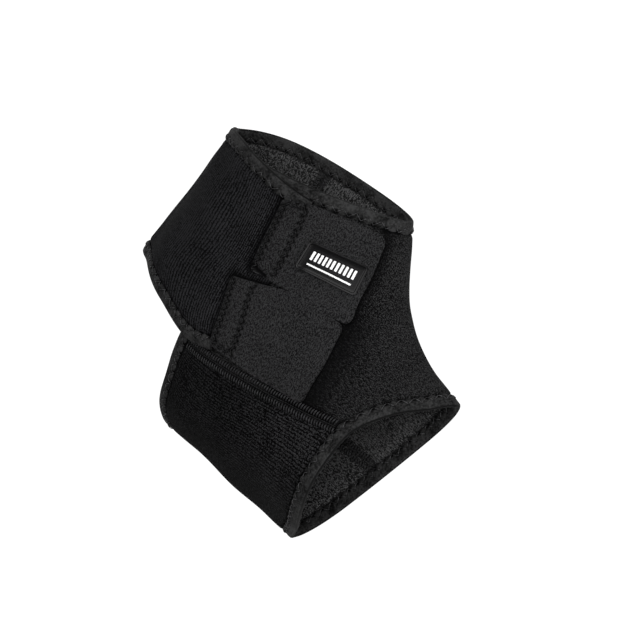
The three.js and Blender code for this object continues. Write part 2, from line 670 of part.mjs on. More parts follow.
// Origin under the middle of the brace
const box = new THREE.Box3().setFromObject(brace);
for (const mesh of brace.children) {
  mesh.position.set(-(box.min.x + box.max.x) / 2, -(box.min.y + box.max.y) / 2, 0);
}

export default brace;
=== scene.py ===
import math

import bpy
import numpy as np
from mathutils import Matrix


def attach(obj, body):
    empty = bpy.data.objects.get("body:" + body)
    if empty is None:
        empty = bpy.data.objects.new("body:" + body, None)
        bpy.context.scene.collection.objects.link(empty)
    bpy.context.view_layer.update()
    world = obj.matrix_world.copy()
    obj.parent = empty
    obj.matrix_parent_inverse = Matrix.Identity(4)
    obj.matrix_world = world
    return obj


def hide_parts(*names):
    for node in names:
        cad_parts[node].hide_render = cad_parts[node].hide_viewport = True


# Slip-on ankle brace of padded knit, lying on its side: three panels, folded edge tapes with
# zigzag stitches, flat seams, two straps sewn on the back flap, and a rubber label.
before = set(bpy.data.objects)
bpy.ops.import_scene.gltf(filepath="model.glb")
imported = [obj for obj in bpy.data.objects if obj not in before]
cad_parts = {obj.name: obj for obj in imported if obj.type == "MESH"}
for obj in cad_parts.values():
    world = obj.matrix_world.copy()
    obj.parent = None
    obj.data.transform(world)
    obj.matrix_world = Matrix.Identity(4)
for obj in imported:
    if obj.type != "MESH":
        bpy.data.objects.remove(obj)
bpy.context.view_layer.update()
mm = 0.001  # sizes here are in millimetres, Blender's in metres

# Shape of the brace in millimetres, from the middle of the ankle; shares are of its sizes
brace = {
    "length": 190, "height": 172, "crown": 38, "fold": 14, "wall": 3.0,
    "shoulder": 0.47, "soleShoulder": 0.29, "toeReach": 0.3, "archPower": 2.5,
    "flatStart": 0.85, "flatPower": 1.5, "rimReach": 0.35, "bowPower": 1.6,
    "legBow": 5.0, "bowFront": 0.55, "bowBack": 1.45, "toeBow": 4.0, "toeLip": 1.2,
    "place": (6.868, 13.938, 0.0),     # middle of the ankle in the frame
}
# frontX, frontY, backX, backY, crown, from the leg opening to the toe opening
sections = np.array([
    (0.034, 0.413, -0.513, 0.206, 1.00), (0.074, 0.366, -0.509, 0.096, 0.97),
    (0.108, 0.323, -0.510, -0.029, 0.95), (0.142, 0.282, -0.511, -0.157, 0.95),
    (0.174, 0.250, -0.508, -0.285, 0.95), (0.208, 0.227, -0.442, -0.401, 0.95),
    (0.247, 0.206, -0.316, -0.491, 0.95), (0.295, 0.189, -0.171, -0.570, 0.95),
    (0.345, 0.177, 0.011, -0.541, 0.97), (0.395, 0.172, 0.187, -0.509, 1.00),
    (0.450, 0.169, 0.353, -0.477, 1.05),
])
sectionSizes = np.array([brace["length"], brace["height"], brace["length"], brace["height"],
                         brace["crown"]])

# Pattern lines as (height, girth): height 0 at the leg opening, 1 at the toe opening; girth 0 at
# the front fold, over the upper wall to 1 at the back fold, and along the lower wall to 2
nearNotch, farNotch, toeCorner = 0.560, 0.553, 0.950
nearEdgeLine = [(0, 0.700), (0.276, 0.675), (nearNotch, 0.618), (0.584, 0.603), (0.611, 0.575),
                (0.645, 0.530), (0.701, 0.477), (0.769, 0.445), (0.833, 0.420), (0.911, 0.390),
                (toeCorner, 0.380)]
farEdgeLine = [(0, 1.478), (0.270, 1.440), (farNotch, 1.400), (0.760, 1.452), (1, 1.487)]
toeRimLine = [(1, 0), (0.990, 0.142), (0.952, 0.249), (0.943, 0.330), (toeCorner, 0.380),
              (0.966, 0.430), (0.996, 0.495), (1.020, 0.630), (1.018, 0.775), (1.005, 0.900),
              (1, 1), (1, 1.225), (1, 1.487)]
flapEndLine = [(0.042, 0.366), (0.200, 0.381), (0.350, 0.391), (0.490, 0.422), (0.620, 0.492)]
flapColumns = [
    [(0.018, 0.440), (0.175, 0.448), (0.325, 0.455), (0.465, 0.480), (0.604, 0.535)],
    [(-0.008, 0.520), (0.150, 0.520), (0.300, 0.525), (0.440, 0.550), (0.570, 0.591)],
    [(-0.026, 0.640), (0.115, 0.642), (0.245, 0.645), (0.370, 0.650), (0.488, 0.656)],
    [(-0.020, 0.760), (0.100, 0.759), (0.215, 0.758), (0.320, 0.758), (0.423, 0.758)],
    [(-0.010, 0.880), (0.100, 0.880), (0.200, 0.880), (0.300, 0.880), (0.397, 0.880)],
    [(0, 1.000), (0.100, 1.000), (0.200, 1.000), (0.298, 1.000), (0.395, 1.000)],
    [(0, 1.155), (0.105, 1.155), (0.205, 1.155), (0.305, 1.155), (0.408, 1.155)],
    [(0, 1.310), (0.120, 1.302), (0.235, 1.295), (0.345, 1.287), (0.455, 1.280)],
]
footColumns = [
    [(0.600, 0.664), (0.790, 0.550), (0.996, 0.495)],
    [(0.645, 0.722), (0.835, 0.660), (1.020, 0.630)],
    [(0.680, 0.800), (0.850, 0.785), (1.018, 0.775)],
    [(0.712, 0.890), (0.860, 0.895), (1.005, 0.900)],
    [(0.724, 1.000), (0.862, 1.000), (1, 1.000)],
    [(0.712, 1.110), (0.860, 1.100), (1, 1.090)],
    [(0.684, 1.210), (0.845, 1.220), (1, 1.225)],
    [(0.640, 1.300), (0.815, 1.335), (1, 1.370)],
]


def ease(value):
    x = np.clip(value, 0, 1)
    return x * x * (3 - 2 * x)


def unit(vectors):
    return vectors / np.linalg.norm(vectors, axis=-1, keepdims=True)


# Smooth curve through evenly spaced rows of numbers, at shares of its length
def curveThrough(rows, share):
    last = len(rows) - 1
    rows = np.concatenate([2 * rows[:1] - rows[1:2], rows, 2 * rows[-1:] - rows[-2:-1]])
    place = share * last
    i = np.clip(np.floor(place).astype(int), 0, last - 1)
    f = (place - i)[..., None]
    if rows.ndim == 2:
        a, b, c, d = (rows[i + k] for k in range(4))
    else:
        a, b, c, d = (np.take_along_axis(rows, (i + k)[None, ..., None], 0)[0] for k in range(4))
    return 0.5 * (2 * b + (c - a) * f + (2 * a - 5 * b + 4 * c - d) * f * f
                  + (3 * b - a - 3 * c + d) * f * f * f)


# Smooth value from a table of unevenly spaced pairs
def lookUp(table, value, column=0):
    x = np.array([row[column] for row in table], float)
    y = np.array([row[1 - column] for row in table], float)
    slope = np.concatenate([[(y[1] - y[0]) / (x[1] - x[0])], (y[2:] - y[:-2]) / (x[2:] - x[:-2]),
                            [(y[-1] - y[-2]) / (x[-1] - x[-2])]])
    i = np.clip(np.searchsorted(x, value) - 1, 0, len(x) - 2)
    h = x[i + 1] - x[i]
    f = np.clip((value - x[i]) / h, 0, 1)
    return (y[i] * (1 + 2 * f) * (1 - f) ** 2 + slope[i] * h * f * (1 - f) ** 2
            + y[i + 1] * f * f * (3 - 2 * f) + slope[i + 1] * h * f * f * (f - 1))


def nearEdge(height):
    return lookUp(nearEdgeLine, height)


def farEdge(height):
    return lookUp(farEdgeLine, height)


# Middle of the wall
def middleOf(height, girth):
    height, girth = np.broadcast_arrays(np.asarray(height, float), np.asarray(girth, float))
    q = (girth + 1) % 2 - 1
    row = curveThrough(sections * sectionSizes, height)
    frontX, frontY, backX, backY, crown = (row[..., k] for k in range(5))
    across = (1 - np.cos(np.pi * q)) / 2
    bulge = np.abs(np.sin(np.pi * q))
    nearToe = np.clip(1 - (1 - height) / brace["toeReach"], 0, 1) ** 2
    shoulder = brace["crown"] * (brace["shoulder"] - brace["soleShoulder"] * across * nearToe)
    flat = 1 - (1 - np.clip(bulge / brace["flatStart"], 0, 1)) ** brace["flatPower"]
    upper = brace["fold"] + shoulder * bulge + (crown - shoulder) * bulge ** brace["archPower"]
    lower = brace["fold"] - (brace["fold"] - brace["wall"] / 2) * flat
    atLegRim = np.clip(1 - height / brace["rimReach"], 0, 1) ** 2
    atToeRim = np.clip(1 - (1 - height) / brace["rimReach"], 0, 1) ** 2
    bowShare = brace["bowFront"] + (brace["bowBack"] - brace["bowFront"]) * across
    legBow = brace["legBow"] * atLegRim * bowShare - brace["toeLip"] * atToeRim
    bow = np.where(q >= 0, brace["toeBow"] * atToeRim * bulge, legBow * bulge ** brace["bowPower"])
    span = np.hypot(frontX - backX, frontY - backY)
    x = frontX + (backX - frontX) * across - (frontY - backY) / span * bow
    y = frontY + (backY - frontY) * across + (frontX - backX) / span * bow
    return np.stack([x, y, np.where(q >= 0, upper, lower)], -1)


def slopesOf(height, girth, step=1e-4):
    up = (middleOf(height + step, girth) - middleOf(height - step, girth)) / (2 * step)
    around = (middleOf(height, girth + step) - middleOf(height, girth - step)) / (2 * step)
    return up, around, unit(np.cross(around, up))


# Point at a distance outwards from the wall's middle, never below the floor
def shellPoint(height, girth, outwards):
    normal = slopesOf(height, girth)[2]
    point = middleOf(height, girth) + normal * np.asarray(outwards)[..., None]
    point[..., 2] = np.maximum(point[..., 2], 0.0)
    return point


# How the flap and the straps lie over what they cover
cover = {"flapLift": 3.8, "liftStart": 0.17, "liftRun": 0.15, "strapLow": 2.5, "strapHigh": 5.7,
         "strapDrop": 0.052, "strapClear": 0.004, "endSkin": 0.9, "pressStart": 0.075,
         "pressEnd": 0.11}


def noLift(height, girth):
    return np.zeros(np.broadcast(height, girth).shape)


def flapLift(height, girth):
    hidden = nearEdge(np.clip(height, 0, nearNotch)) + cover["liftStart"]
    return cover["flapLift"] * ease((hidden - girth) / cover["liftRun"])


def strapMiddle(height, girth):
    past = girth - lookUp(flapEndLine, height) + cover["strapClear"]
    rise = ease(past / cover["strapDrop"] + 1)
    return cover["strapLow"] + (cover["strapHigh"] - cover["strapLow"]) * rise


# Patch whose columns run from its top edge to its bottom edge
def patchAt(columns, a, b):
    a, b = np.broadcast_arrays(np.asarray(a, float), np.asarray(b, float))
    rows = np.stack([column(b) if callable(column) else curveThrough(np.array(column, float), b)
                     for column in columns])
    place = curveThrough(rows, a)
    return place[..., 0], place[..., 1]


def seamColumn(edge, top, bottom):
    def column(b):
        height = top + (bottom - top) * b
        return np.stack([height, edge(height)], -1)
    return column


def flapAt(a, b):
    return patchAt([flapEndLine, *flapColumns, seamColumn(farEdge, 0, farNotch)], a, b)


def footAt(a, b):
    return patchAt([seamColumn(nearEdge, nearNotch, toeCorner), *footColumns,
                    seamColumn(farEdge, farNotch, 1)], a, b)


def instepAt(a, b):
    a, b = np.broadcast_arrays(np.asarray(a, float), np.asarray(b, float))
    rimNear = nearEdge(toeCorner)
    height = b * lookUp(toeRimLine, rimNear + (farEdge(1) - 2 - rimNear) * a, 1)
    near = nearEdge(height)
    return height, near + (farEdge(height) - 2 - near) * a


panels = {"flap": (flapAt, flapLift), "foot": (footAt, noLift), "instep": (instepAt, noLift)}


# Stations along a panel, from one of its places to another, a step apart on the cloth, each with
# a place further inside the panel
def stretchOf(panel, start, end, step, inset=0.03, samples=500):
    at, lift = panels[panel]
    share = np.linspace(0, 1, samples)

    def placeAt(share):
        return [start[k] + (end[k] - start[k]) * share for k in range(2)]

    height, girth = at(*placeAt(share))
    points = shellPoint(height, girth, lift(height, girth))
    length = np.concatenate([[0], np.cumsum(np.linalg.norm(np.diff(points, axis=0), axis=1))])
    count = max(4, round(length[-1] / step))
    a, b = placeAt(np.interp(np.linspace(0, length[-1], count + 1), length, share))
    height, girth = at(a, b)
    inside = at(np.clip(a, inset, 1 - inset), np.clip(b, inset, 1 - inset))
    return {"height": height, "girth": girth, "inHeight": inside[0], "inGirth": inside[1],
            "panel": np.array([panel] * len(a))}


def joinStretches(stretches, closed=False):
    line = {key: np.concatenate([part[key] if k == 0 else part[key][1:]
                                 for k, part in enumerate(stretches)]) for key in stretches[0]}
    if closed:
        line = {key: values[:-1] for key, values in line.items()}
    line["closed"] = closed
    measureLine(line)
    return line


def liftOn(line, height, girth):
    onFlap = line["panel"] == "flap"
    if height.ndim == 2:
        onFlap = onFlap[:, None]
    return np.where(onFlap, flapLift(height, girth), 0.0)


# Adds a line's points, its running length and its direction, taken over a reach of stations
def measureLine(line, reach=4):
    lift = liftOn(line, line["height"], line["girth"])
    points = shellPoint(line["height"], line["girth"], lift)
    steps = np.linalg.norm(np.diff(points, axis=0), axis=1)
    line["points"] = points
    line["run"] = np.concatenate([[0], np.cumsum(steps)])
    line["total"] = line["run"][-1]
    if line["closed"]:
        line["total"] += np.linalg.norm(points[0] - points[-1])
        around = np.concatenate([points[-reach:], points, points[:reach]])
    else:
        beyond = np.arange(1, reach + 1)[:, None]
        before = points[:1] + (points[:1] - points[1:2]) * beyond[::-1]
        after = points[-1:] + (points[-1:] - points[-2:-1]) * beyond
        around = np.concatenate([before, points, after])
    line["along"] = unit(around[2 * reach:] - around[:-2 * reach])
    beside = shellPoint(line["inHeight"], line["inGirth"],
                        liftOn(line, line["inHeight"], line["inGirth"]))
    line["towards"] = beside - points


# Heights and girths reached by walking from each station into its panel, one column a distance
def walkInto(line, distances, steps=4):
    height = line["height"][:, None] + 0 * distances
    girth = line["girth"][:, None] + 0 * distances
    for _ in range(steps):
        up, around, normal = slopesOf(height, girth)
        inward = unit(np.cross(normal, line["along"][:, None, :]))
        wrong = (inward * line["towards"][:, None, :]).sum(-1, keepdims=True) < 0
        inward = np.where(wrong, -inward, inward)
        upUp, upAround, aroundAround = ((v * w).sum(-1)
                                        for v, w in ((up, up), (up, around), (around, around)))
        size = distances / steps
        partUp = (up * inward).sum(-1) * size
        partAround = (around * inward).sum(-1) * size
        det = upUp * aroundAround - upAround ** 2
        height = height + (partUp * aroundAround - partAround * upAround) / det
        girth = girth + (partAround * upUp - partUp * upAround) / det
    return height, girth


# Smallest distance from points to a polyline, and how far along it that is, in chunks of points
def nearestOn(points, line, run, chunk=2000):
    flat = points.reshape(-1, 3)
    best = np.empty(len(flat))
    place = np.empty(len(flat))
    start, step = line[:-1], np.diff(line, axis=0)
    size = (step ** 2).sum(-1)
    for first in range(0, len(flat), chunk):
        part = flat[first:first + chunk, None, :] - start[None]
        t = np.clip((part * step).sum(-1) / size, 0, 1)
        gap = np.linalg.norm(part - step * t[..., None], axis=-1)
        k = gap.argmin(1)
        rows = np.arange(len(k))
        best[first:first + chunk] = gap[rows, k]
        place[first:first + chunk] = run[k] + t[rows, k] * (run[k + 1] - run[k])
    return best.reshape(points.shape[:-1]), place.reshape(points.shape[:-1])


# Closed mesh from points in millimetres, its faces turned outwards, with the painted shade of its
# dents kept on it as an attribute
def addPiece(name, points, faces, uv=None, finishes=(), finishOf=None, dents=None):
    points = np.asarray(points, float).reshape(-1, 3)
    volume = 0.0
    for count in {len(face) for face in faces}:
        same = np.array([face for face in faces if len(face) == count])
        for k in range(1, count - 1):
            a, b, c = points[same[:, 0]], points[same[:, k]], points[same[:, k + 1]]
            volume += (a * np.cross(b, c)).sum()
    if volume < 0:
        faces = [face[::-1] for face in faces]
    mesh = bpy.data.meshes.new(name)
    mesh.from_pydata(((points + brace["place"]) * mm).tolist(), [], faces)
    mesh.polygons.foreach_set("use_smooth", [True] * len(mesh.polygons))
    if uv is not None:
        corners = np.empty(len(mesh.loops), int)
        mesh.loops.foreach_get("vertex_index", corners)
        layer = mesh.uv_layers.new(name="UVMap")
        layer.data.foreach_set("uv", (np.asarray(uv).reshape(-1, 2)[corners] * mm).ravel())
    if dents is not None:
        layer = mesh.attributes.new("paintedShade", "FLOAT", "POINT")
        layer.data.foreach_set("value", np.clip(np.asarray(dents, float).ravel(), 0, 1))
    for finish in finishes:
        mesh.materials.append(finish)
    if finishOf is not None:
        mesh.polygons.foreach_set("material_index", finishOf)
    mesh.update()
    piece = bpy.data.objects.new(name, mesh)
    bpy.context.scene.collection.objects.link(piece)
    return piece


def gridFaces(rows, columns, start=0, closed=False):
    i = np.arange(rows if closed else rows - 1)[:, None]
    j = np.arange(columns - 1)[None]
    here, below = i * columns, (i + 1) % rows * columns
    quads = np.stack([here + j, here + j + 1, below + j + 1, below + j], -1)
    return (quads.reshape(-1, 4) + start).tolist()


# Slab between an outer and an inner grid of points
def addSlab(name, outer, inner, uv, finishes, dents):
    rows, columns = outer.shape[:2]
    count = rows * columns
    faces = gridFaces(rows, columns)
    faces += [[a + count for a in face[::-1]] for face in faces]
    edge = ([(0, j) for j in range(columns)] + [(i, columns - 1) for i in range(1, rows)]
            + [(rows - 1, j) for j in range(columns - 2, -1, -1)]
            + [(i, 0) for i in range(rows - 2, 0, -1)])
    edge = [i * columns + j for i, j in edge]
    half = len(faces) // 2
    faces += [[b, a, a + count, b + count] for a, b in zip(edge, edge[1:] + edge[:1])]
    kind = [0] * half + [len(finishes) - 1] * half + [0] * len(edge)
    return addPiece(name, np.concatenate([outer.reshape(-1, 3), inner.reshape(-1, 3)]), faces,
                    np.concatenate([uv.reshape(-1, 2)] * 2), finishes, kind,
                    np.concatenate([dents.ravel()] * 2))


# Threads as thin tubes: each path is a run of points with the direction that faces away, and may
# have a thickness at each point and a painted shade that darkens it
def addThreads(name, paths, radius, finish, sides=5):
    angle = np.linspace(0, 2 * np.pi, sides, endpoint=False)
    allPoints, faces, shades, start = [], [], [], 0
    for path, away, *more in paths:
        thick = radius * (more[0] if more else np.ones(len(path)))
        shades += [more[1] if len(more) > 1 else 0.0] * (len(path) * sides)
        along = unit(np.gradient(path, axis=0))
        side = unit(np.cross(along, away))
        out = np.cross(side, along)
        ring = (side[:, None] * np.cos(angle)[None, :, None]
                + out[:, None] * np.sin(angle)[None, :, None])
        allPoints.append((path[:, None] + ring * thick[:, None, None]).reshape(-1, 3))
        count = len(path)
        i = np.arange(count - 1)[:, None] * sides
        j = np.arange(sides)[None]
        k = (j + 1) % sides
        quads = np.stack([i + j, i + k, i + sides + k, i + sides + j], -1).reshape(-1, 4) + start
        faces += quads.tolist()
        faces.append([start + s for s in range(sides - 1, -1, -1)])
        faces.append([start + (count - 1) * sides + s for s in range(sides)])
        start += count * sides
    points = np.concatenate(allPoints)
    return addPiece(name, points, faces, None, [finish], None, shades)


def selectOnly(piece):
    bpy.ops.object.select_all(action="DESELECT")
    piece.select_set(True)
    bpy.context.view_layer.objects.active = piece


# Rounds the edges sharper than an angle, by a width in millimetres
def bevelEdges(piece, width, angle):
    bevel = piece.modifiers.new("edge", "BEVEL")
    bevel.width = width * mm
    bevel.segments = 2
    bevel.limit_method = "ANGLE"
    bevel.angle_limit = math.radians(angle)
    selectOnly(piece)
    bpy.ops.object.modifier_apply(modifier="edge")


def finishPiece(piece, node, slot):
    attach(piece, "root")
    if node:
        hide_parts(node)


# A socket that can stand in an expression
class Wire:
    def __init__(self, finish, socket):
        self.finish = finish
        self.socket = socket

    def math(self, operation, *values):
        return self.finish.node("ShaderNodeMath", {"operation": operation}, dict(enumerate(values)))

    def __add__(self, other):
        return self.math("ADD", self, other)

    def __radd__(self, other):
        return self.math("ADD", other, self)

    def __sub__(self, other):
        return self.math("SUBTRACT", self, other)

    def __rsub__(self, other):
        return self.math("SUBTRACT", other, self)

    def __mul__(self, other):
        return self.math("MULTIPLY", self, other)

    def __rmul__(self, other):
        return self.math("MULTIPLY", other, self)

    def __truediv__(self, other):
        return self.math("DIVIDE", self, other)

    def __pow__(self, other):
        return self.math("POWER", self, other)

    def __abs__(self):
        return self.math("ABSOLUTE", self)


# A material being made: its nodes come from one method
class Finish:
    def __init__(self, name):
        self.material = bpy.data.materials.new(name)
        self.material.use_nodes = True
        self.tree = self.material.node_tree
        self.tree.nodes.clear()

    def node(self, kind, settings=None, values=None, output=0):
        node = self.tree.nodes.new(kind)
        for key, value in (settings or {}).items():
            setattr(node, key, value)
        for key, value in (values or {}).items():
            if isinstance(value, Wire):
                self.tree.links.new(value.socket, node.inputs[key])
            else:
                node.inputs[key].default_value = value
        return Wire(self, node.outputs[output]) if node.outputs else None

    def place(self, source, scale=(1, 1, 1), turn=0.0):
        coordinates = self.node("ShaderNodeTexCoord", output=source)
        return self.node("ShaderNodeMapping", None,
                         {"Vector": coordinates, "Scale": scale, "Rotation": (0, 0, turn)})

    def noise(self, where, scale, rough=0.5, detail=2.0):
        return self.node("ShaderNodeTexNoise", None, {"Vector": where, "Scale": scale,
                                                     "Detail": detail, "Roughness": rough})

    # Noise about zero
    def speckle(self, where, scale, rough=0.5, detail=2.0):
        return self.noise(where, scale, rough, detail) - 0.5

    def blend(self, factor, first, second):
        return self.node("ShaderNodeMix", {"data_type": "RGBA"},
                         {0: factor, 6: (*first, 1), 7: (*second, 1)}, 2)

    def bump(self, height, depth):
        return self.node("ShaderNodeBump", None, {"Height": height, "Distance": depth})

    def close(self, **sockets):
        shader = self.node("ShaderNodeBsdfPrincipled", None,
                           {key.replace("_", " "): value for key, value in sockets.items()})
        self.node("ShaderNodeOutputMaterial", None, {"Surface": shader})
        return self.material

    # Cloth or thread of a tone, darkened by painted shade at the bottom of its stitched dents and in
    # its other recesses
    def closeCloth(self, tone, height, look):
        paintedShade = self.node("ShaderNodeAttribute", {"attribute_name": "paintedShade"}, output=2)
        colour = self.blend(tone * (1 - paintedShade), look["dark"], look["light"])
        return self.close(Base_Color=colour, Roughness=look["roughness"],
                          Specular_IOR_Level=look["specular"],
                          Normal=self.bump(height, look["depth"]))


# Knit with ribs along the cloth's second direction. In all cloths: sizes in metres, noise as
# scales, then how much each pattern adds to the height and to the tone
knit = {"rib": 0.00140, "stitch": 0.00125, "lean": 1.3, "ridge": 2.5, "drift": 260,
        "ribDrift": 0.55, "stitchDrift": 0.6, "fuzz": 1700, "coarse": 850, "patch": 60,
        "waveHeight": 0.15, "fuzzHeight": 1.2, "ribTone": 1.8, "waveTone": 0.3, "grain": 4.0,
        "coarseTone": 2.6, "patchTone": 0.9, "base": -0.82, "depth": 0.00028, "pale": 0.0,
        "dark": (0.0004, 0.0004, 0.0005), "light": (0.0192, 0.0192, 0.0208), "roughness": 1.0,
        "specular": 0.04}
# The foot band is paler towards the toes, and darker along the sole with painted shade
footKnit = {**knit, "ribTone": 1.2, "grain": 6.0, "base": -0.75, "dark": (0.0002, 0.0002, 0.0002),
            "light": (0.0260, 0.0260, 0.0271), "plain": 0.63, "pale": 15.0, "paleFrom": 0.034,
            "sole": 0.068, "soleReach": 0.025, "paintedSoleShade": 0.3}


def knitFinish(name, look):
    finish = Finish(name)
    where = finish.place("UV")
    space = finish.place("Object")
    drift = finish.speckle(where, look["drift"], detail=1.0)
    across = finish.node("ShaderNodeSeparateXYZ", None, {0: where})
    down = Wire(finish, across.socket.node.outputs[1])
    rib = across / look["rib"] + drift * look["ribDrift"]
    side = abs(rib.math("FRACT", rib) - 0.5)
    loop = down / look["stitch"] + side * look["lean"] + drift * look["stitchDrift"]
    loop = loop * (2 * math.pi)
    wave = loop.math("SINE", loop)
    ridge = 1 - (side * 2) ** look["ridge"]
    fuzz = finish.speckle(space, look["fuzz"], rough=0.6)
    height = ridge * (wave * look["waveHeight"] + (1 - look["waveHeight"]))
    height = height + fuzz * look["fuzzHeight"]
    tone = ridge * look["ribTone"] + ridge * wave * look["waveTone"] + look["base"]
    tone = tone + fuzz * look["grain"] + finish.speckle(space, look["coarse"]) * look["coarseTone"]
    tone = tone + finish.speckle(space, look["patch"]) * look["patchTone"]
    # For the foot band: paler towards the toes, and painted shade along the sole's fold
    if look["pale"] > 0:
        towardsToes = down.math("MAXIMUM", down - look["paleFrom"], 0.0)
        aboveSole = across.math("MAXIMUM", 1 - across / look["sole"], 0.0)
        atSole = across.math("MAXIMUM", 1 - abs(across - look["sole"]) / look["soleReach"], 0.0)
        paler = towardsToes * aboveSole * look["pale"] + look["plain"] - atSole * look["paintedSoleShade"]
        tone = tone.math("MINIMUM", tone, 1.0) * paler
    return finish.closeCloth(tone, height, look)


# Loop cloth: short brushed loops, with a slanting grain
loops = {"grain": 0.00048, "stretch": 0.4, "turn": 0.5, "size": 1700, "fine": 1.5, "patch": 45,
         "strandHeight": 1.4, "cellHeight": 0.5, "fineHeight": 1.1, "contrast": 7.0,
         "patchTone": 1.3, "base": 0.27, "depth": 0.00030, "dark": (0.0003, 0.0003, 0.0004),
         "light": (0.0275, 0.0275, 0.0281), "roughness": 0.95, "specular": 0.07}
liningLoops = {**loops, "grain": 0.00065, "turn": -0.6, "size": 1200, "contrast": 4.6, "base": 0.34,
               "depth": 0.0005, "light": (0.078, 0.078, 0.079), "roughness": 0.6, "specular": 0.2}


def loopFinish(name, look):
    finish = Finish(name)
    where = finish.place("UV", scale=(1, look["stretch"], 1), turn=look["turn"])
    space = finish.place("Object")
    strands = finish.speckle(where, 1 / look["grain"], rough=0.6)
    cells = finish.node("ShaderNodeTexVoronoi", {"feature": "F1"},
                        {"Vector": space, "Scale": look["size"]})
    fine = finish.speckle(space, look["size"] * look["fine"], rough=0.6)
    height = strands * look["strandHeight"] + (0.5 - cells) * look["cellHeight"]
    height = height + fine * look["fineHeight"]
    patchy = finish.speckle(space, look["patch"])
    tone = height * look["contrast"] + patchy * look["patchTone"] + look["base"]
    return finish.closeCloth(tone, height, look)


# Brushed cloth of the straps
brushed = {"nap": 2000, "lay": 2000, "stretch": 0.35, "turn": 0.3, "patch": 60, "napHeight": 0.6,
           "layHeight": 0.4, "napTone": 3.9, "layTone": 2.8, "patchTone": 0.4, "base": 0.53,
           "depth": 0.00012, "dark": (0.0010, 0.0010, 0.0011), "light": (0.0245, 0.0245, 0.0253),
           "roughness": 1.0, "specular": 0.06}


def brushedFinish(name, look):
    finish = Finish(name)
    space = finish.place("Object")
    where = finish.place("UV", scale=(1, look["stretch"], 1), turn=look["turn"])
    nap = finish.speckle(space, look["nap"], rough=0.6)
    lay = finish.speckle(where, look["lay"])
    patchy = finish.speckle(space, look["patch"])
    height = nap * look["napHeight"] + lay * look["layHeight"]
    tone = nap * look["napTone"] + lay * look["layTone"] + patchy * look["patchTone"] + look["base"]
    return finish.closeCloth(tone, height, look)


# Folded edge tape: smooth weave with faint cross ribs
tapeCloth = {"rib": 0.00065, "fine": 1000, "worn": 130, "ribHeight": 0.25, "fineHeight": 0.8,
             "ribTone": 0.06, "fineTone": 2.6, "wornTone": 2.2, "base": 0.55, "depth": 0.00006,
             "dark": (0.0010, 0.0010, 0.0010), "light": (0.0260, 0.0260, 0.0262),
             "roughness": 0.8, "specular": 0.09}


def tapeFinish(name, look):
    finish = Finish(name)
    space = finish.place("Object")
    along = finish.node("ShaderNodeSeparateXYZ", None, {0: finish.place("UV")})
    ribs = along * (2 * math.pi / look["rib"])
    ribs = ribs.math("SINE", ribs)
    fine = finish.speckle(space, look["fine"], rough=0.6)
    worn = finish.speckle(space, look["worn"])
    height = ribs * look["ribHeight"] + fine * look["fineHeight"]
    tone = ribs * look["ribTone"] + fine * look["fineTone"] + worn * look["wornTone"] + look["base"]
    return finish.closeCloth(tone, height, look)


# Threads: fine twisted strands
thread = {"twist": 900, "contrast": 4, "base": 0.5, "depth": 0.00004, "specular": 0.2}


def threadFinish(name, dark, light, roughness):
    finish = Finish(name)
    twist = finish.speckle(finish.place("Object"), thread["twist"], detail=1.0)
    twist = twist * thread["contrast"] + thread["base"]
    look = {**thread, "dark": dark, "light": light, "roughness": roughness}
    return finish.closeCloth(twist, twist, look)


# Rubber, black or white: a faint grain, and a smear that changes its gloss
smooth = {"grain": 700, "smear": 90, "smearGloss": 0.12, "depth": 0.00002, "specular": 0.12}


def rubberFinish(name, dark, light, roughness):
    finish = Finish(name)
    space = finish.place("Object")
    smear = finish.noise(space, smooth["smear"])
    gloss = (smear - 0.5) * smooth["smearGloss"] + roughness
    return finish.close(Base_Color=finish.blend(smear, dark, light), Roughness=gloss,
                        Specular_IOR_Level=smooth["specular"],
                        Normal=finish.bump(finish.noise(space, smooth["grain"]), smooth["depth"]))


jersey = knitFinish("jerseyKnit", knit)
footJersey = knitFinish("footKnit", footKnit)
loopCloth = loopFinish("loopCloth", loops)
lining = loopFinish("liningLoops", liningLoops)
strapCloth = brushedFinish("strapCloth", brushed)
tape = tapeFinish("edgeTape", tapeCloth)
tapeThread = threadFinish("tapeThread", (0.003, 0.003, 0.003), (0.050, 0.050, 0.052), 0.45)
seamThread = threadFinish("seamThread", (0.004, 0.004, 0.004), (0.022, 0.022, 0.0235), 0.6)
strapThread = threadFinish("strapThread", (0.001, 0.001, 0.001), (0.013, 0.013, 0.014), 0.6)
rubber = rubberFinish("labelRubber", (0.0022, 0.0022, 0.0024), (0.004, 0.004, 0.0042), 0.25)
white = rubberFinish("labelWhite", (0.72, 0.72, 0.72), (0.80, 0.80, 0.80), 0.4)
print("finishes made")

# Edge tape in millimetres: its width from the fold, how far it stands out, and its zigzag of
# stitches. The last two are shares of a panel, where the heel's tape starts and ends
edgeTape = {"width": 6.1, "proud": 0.5, "scallop": 1.0, "half": 1.7, "pitch": 6.1, "holeIn": 3.0,
            "holeOut": 5.6, "thread": 0.17, "straight": 0.93, "belowLegTape": 0.041, "hemEnd": 0.1}

# Edge lines, and the seams between the panels
stationStep = 0.55
notchShare = nearNotch / toeCorner
legLine = joinStretches([stretchOf("instep", (0, 0), (1, 0), stationStep),
                         stretchOf("flap", (1, 0), (0, 0), stationStep)])
toeLine = joinStretches([stretchOf("instep", (0, 1), (1, 1), stationStep),
                         stretchOf("foot", (1, 1), (0, 1), stationStep)], closed=True)
belowTape = (0, edgeTape["belowLegTape"])
heelLine = joinStretches([stretchOf("instep", belowTape, (0, notchShare), stationStep),
                          stretchOf("foot", (0, 0), (1, 0), stationStep),
                          stretchOf("flap", (1, 1), (edgeTape["hemEnd"], 1), stationStep)])
seamStep = 1.0
nearSeamLine = joinStretches([stretchOf("foot", (0, 0), (0, 1), seamStep)])
farFootLine = joinStretches([stretchOf("foot", (1, 0), (1, 1), seamStep)])
farLegLine = joinStretches([stretchOf("flap", (1, 0), (1, 1), seamStep)])


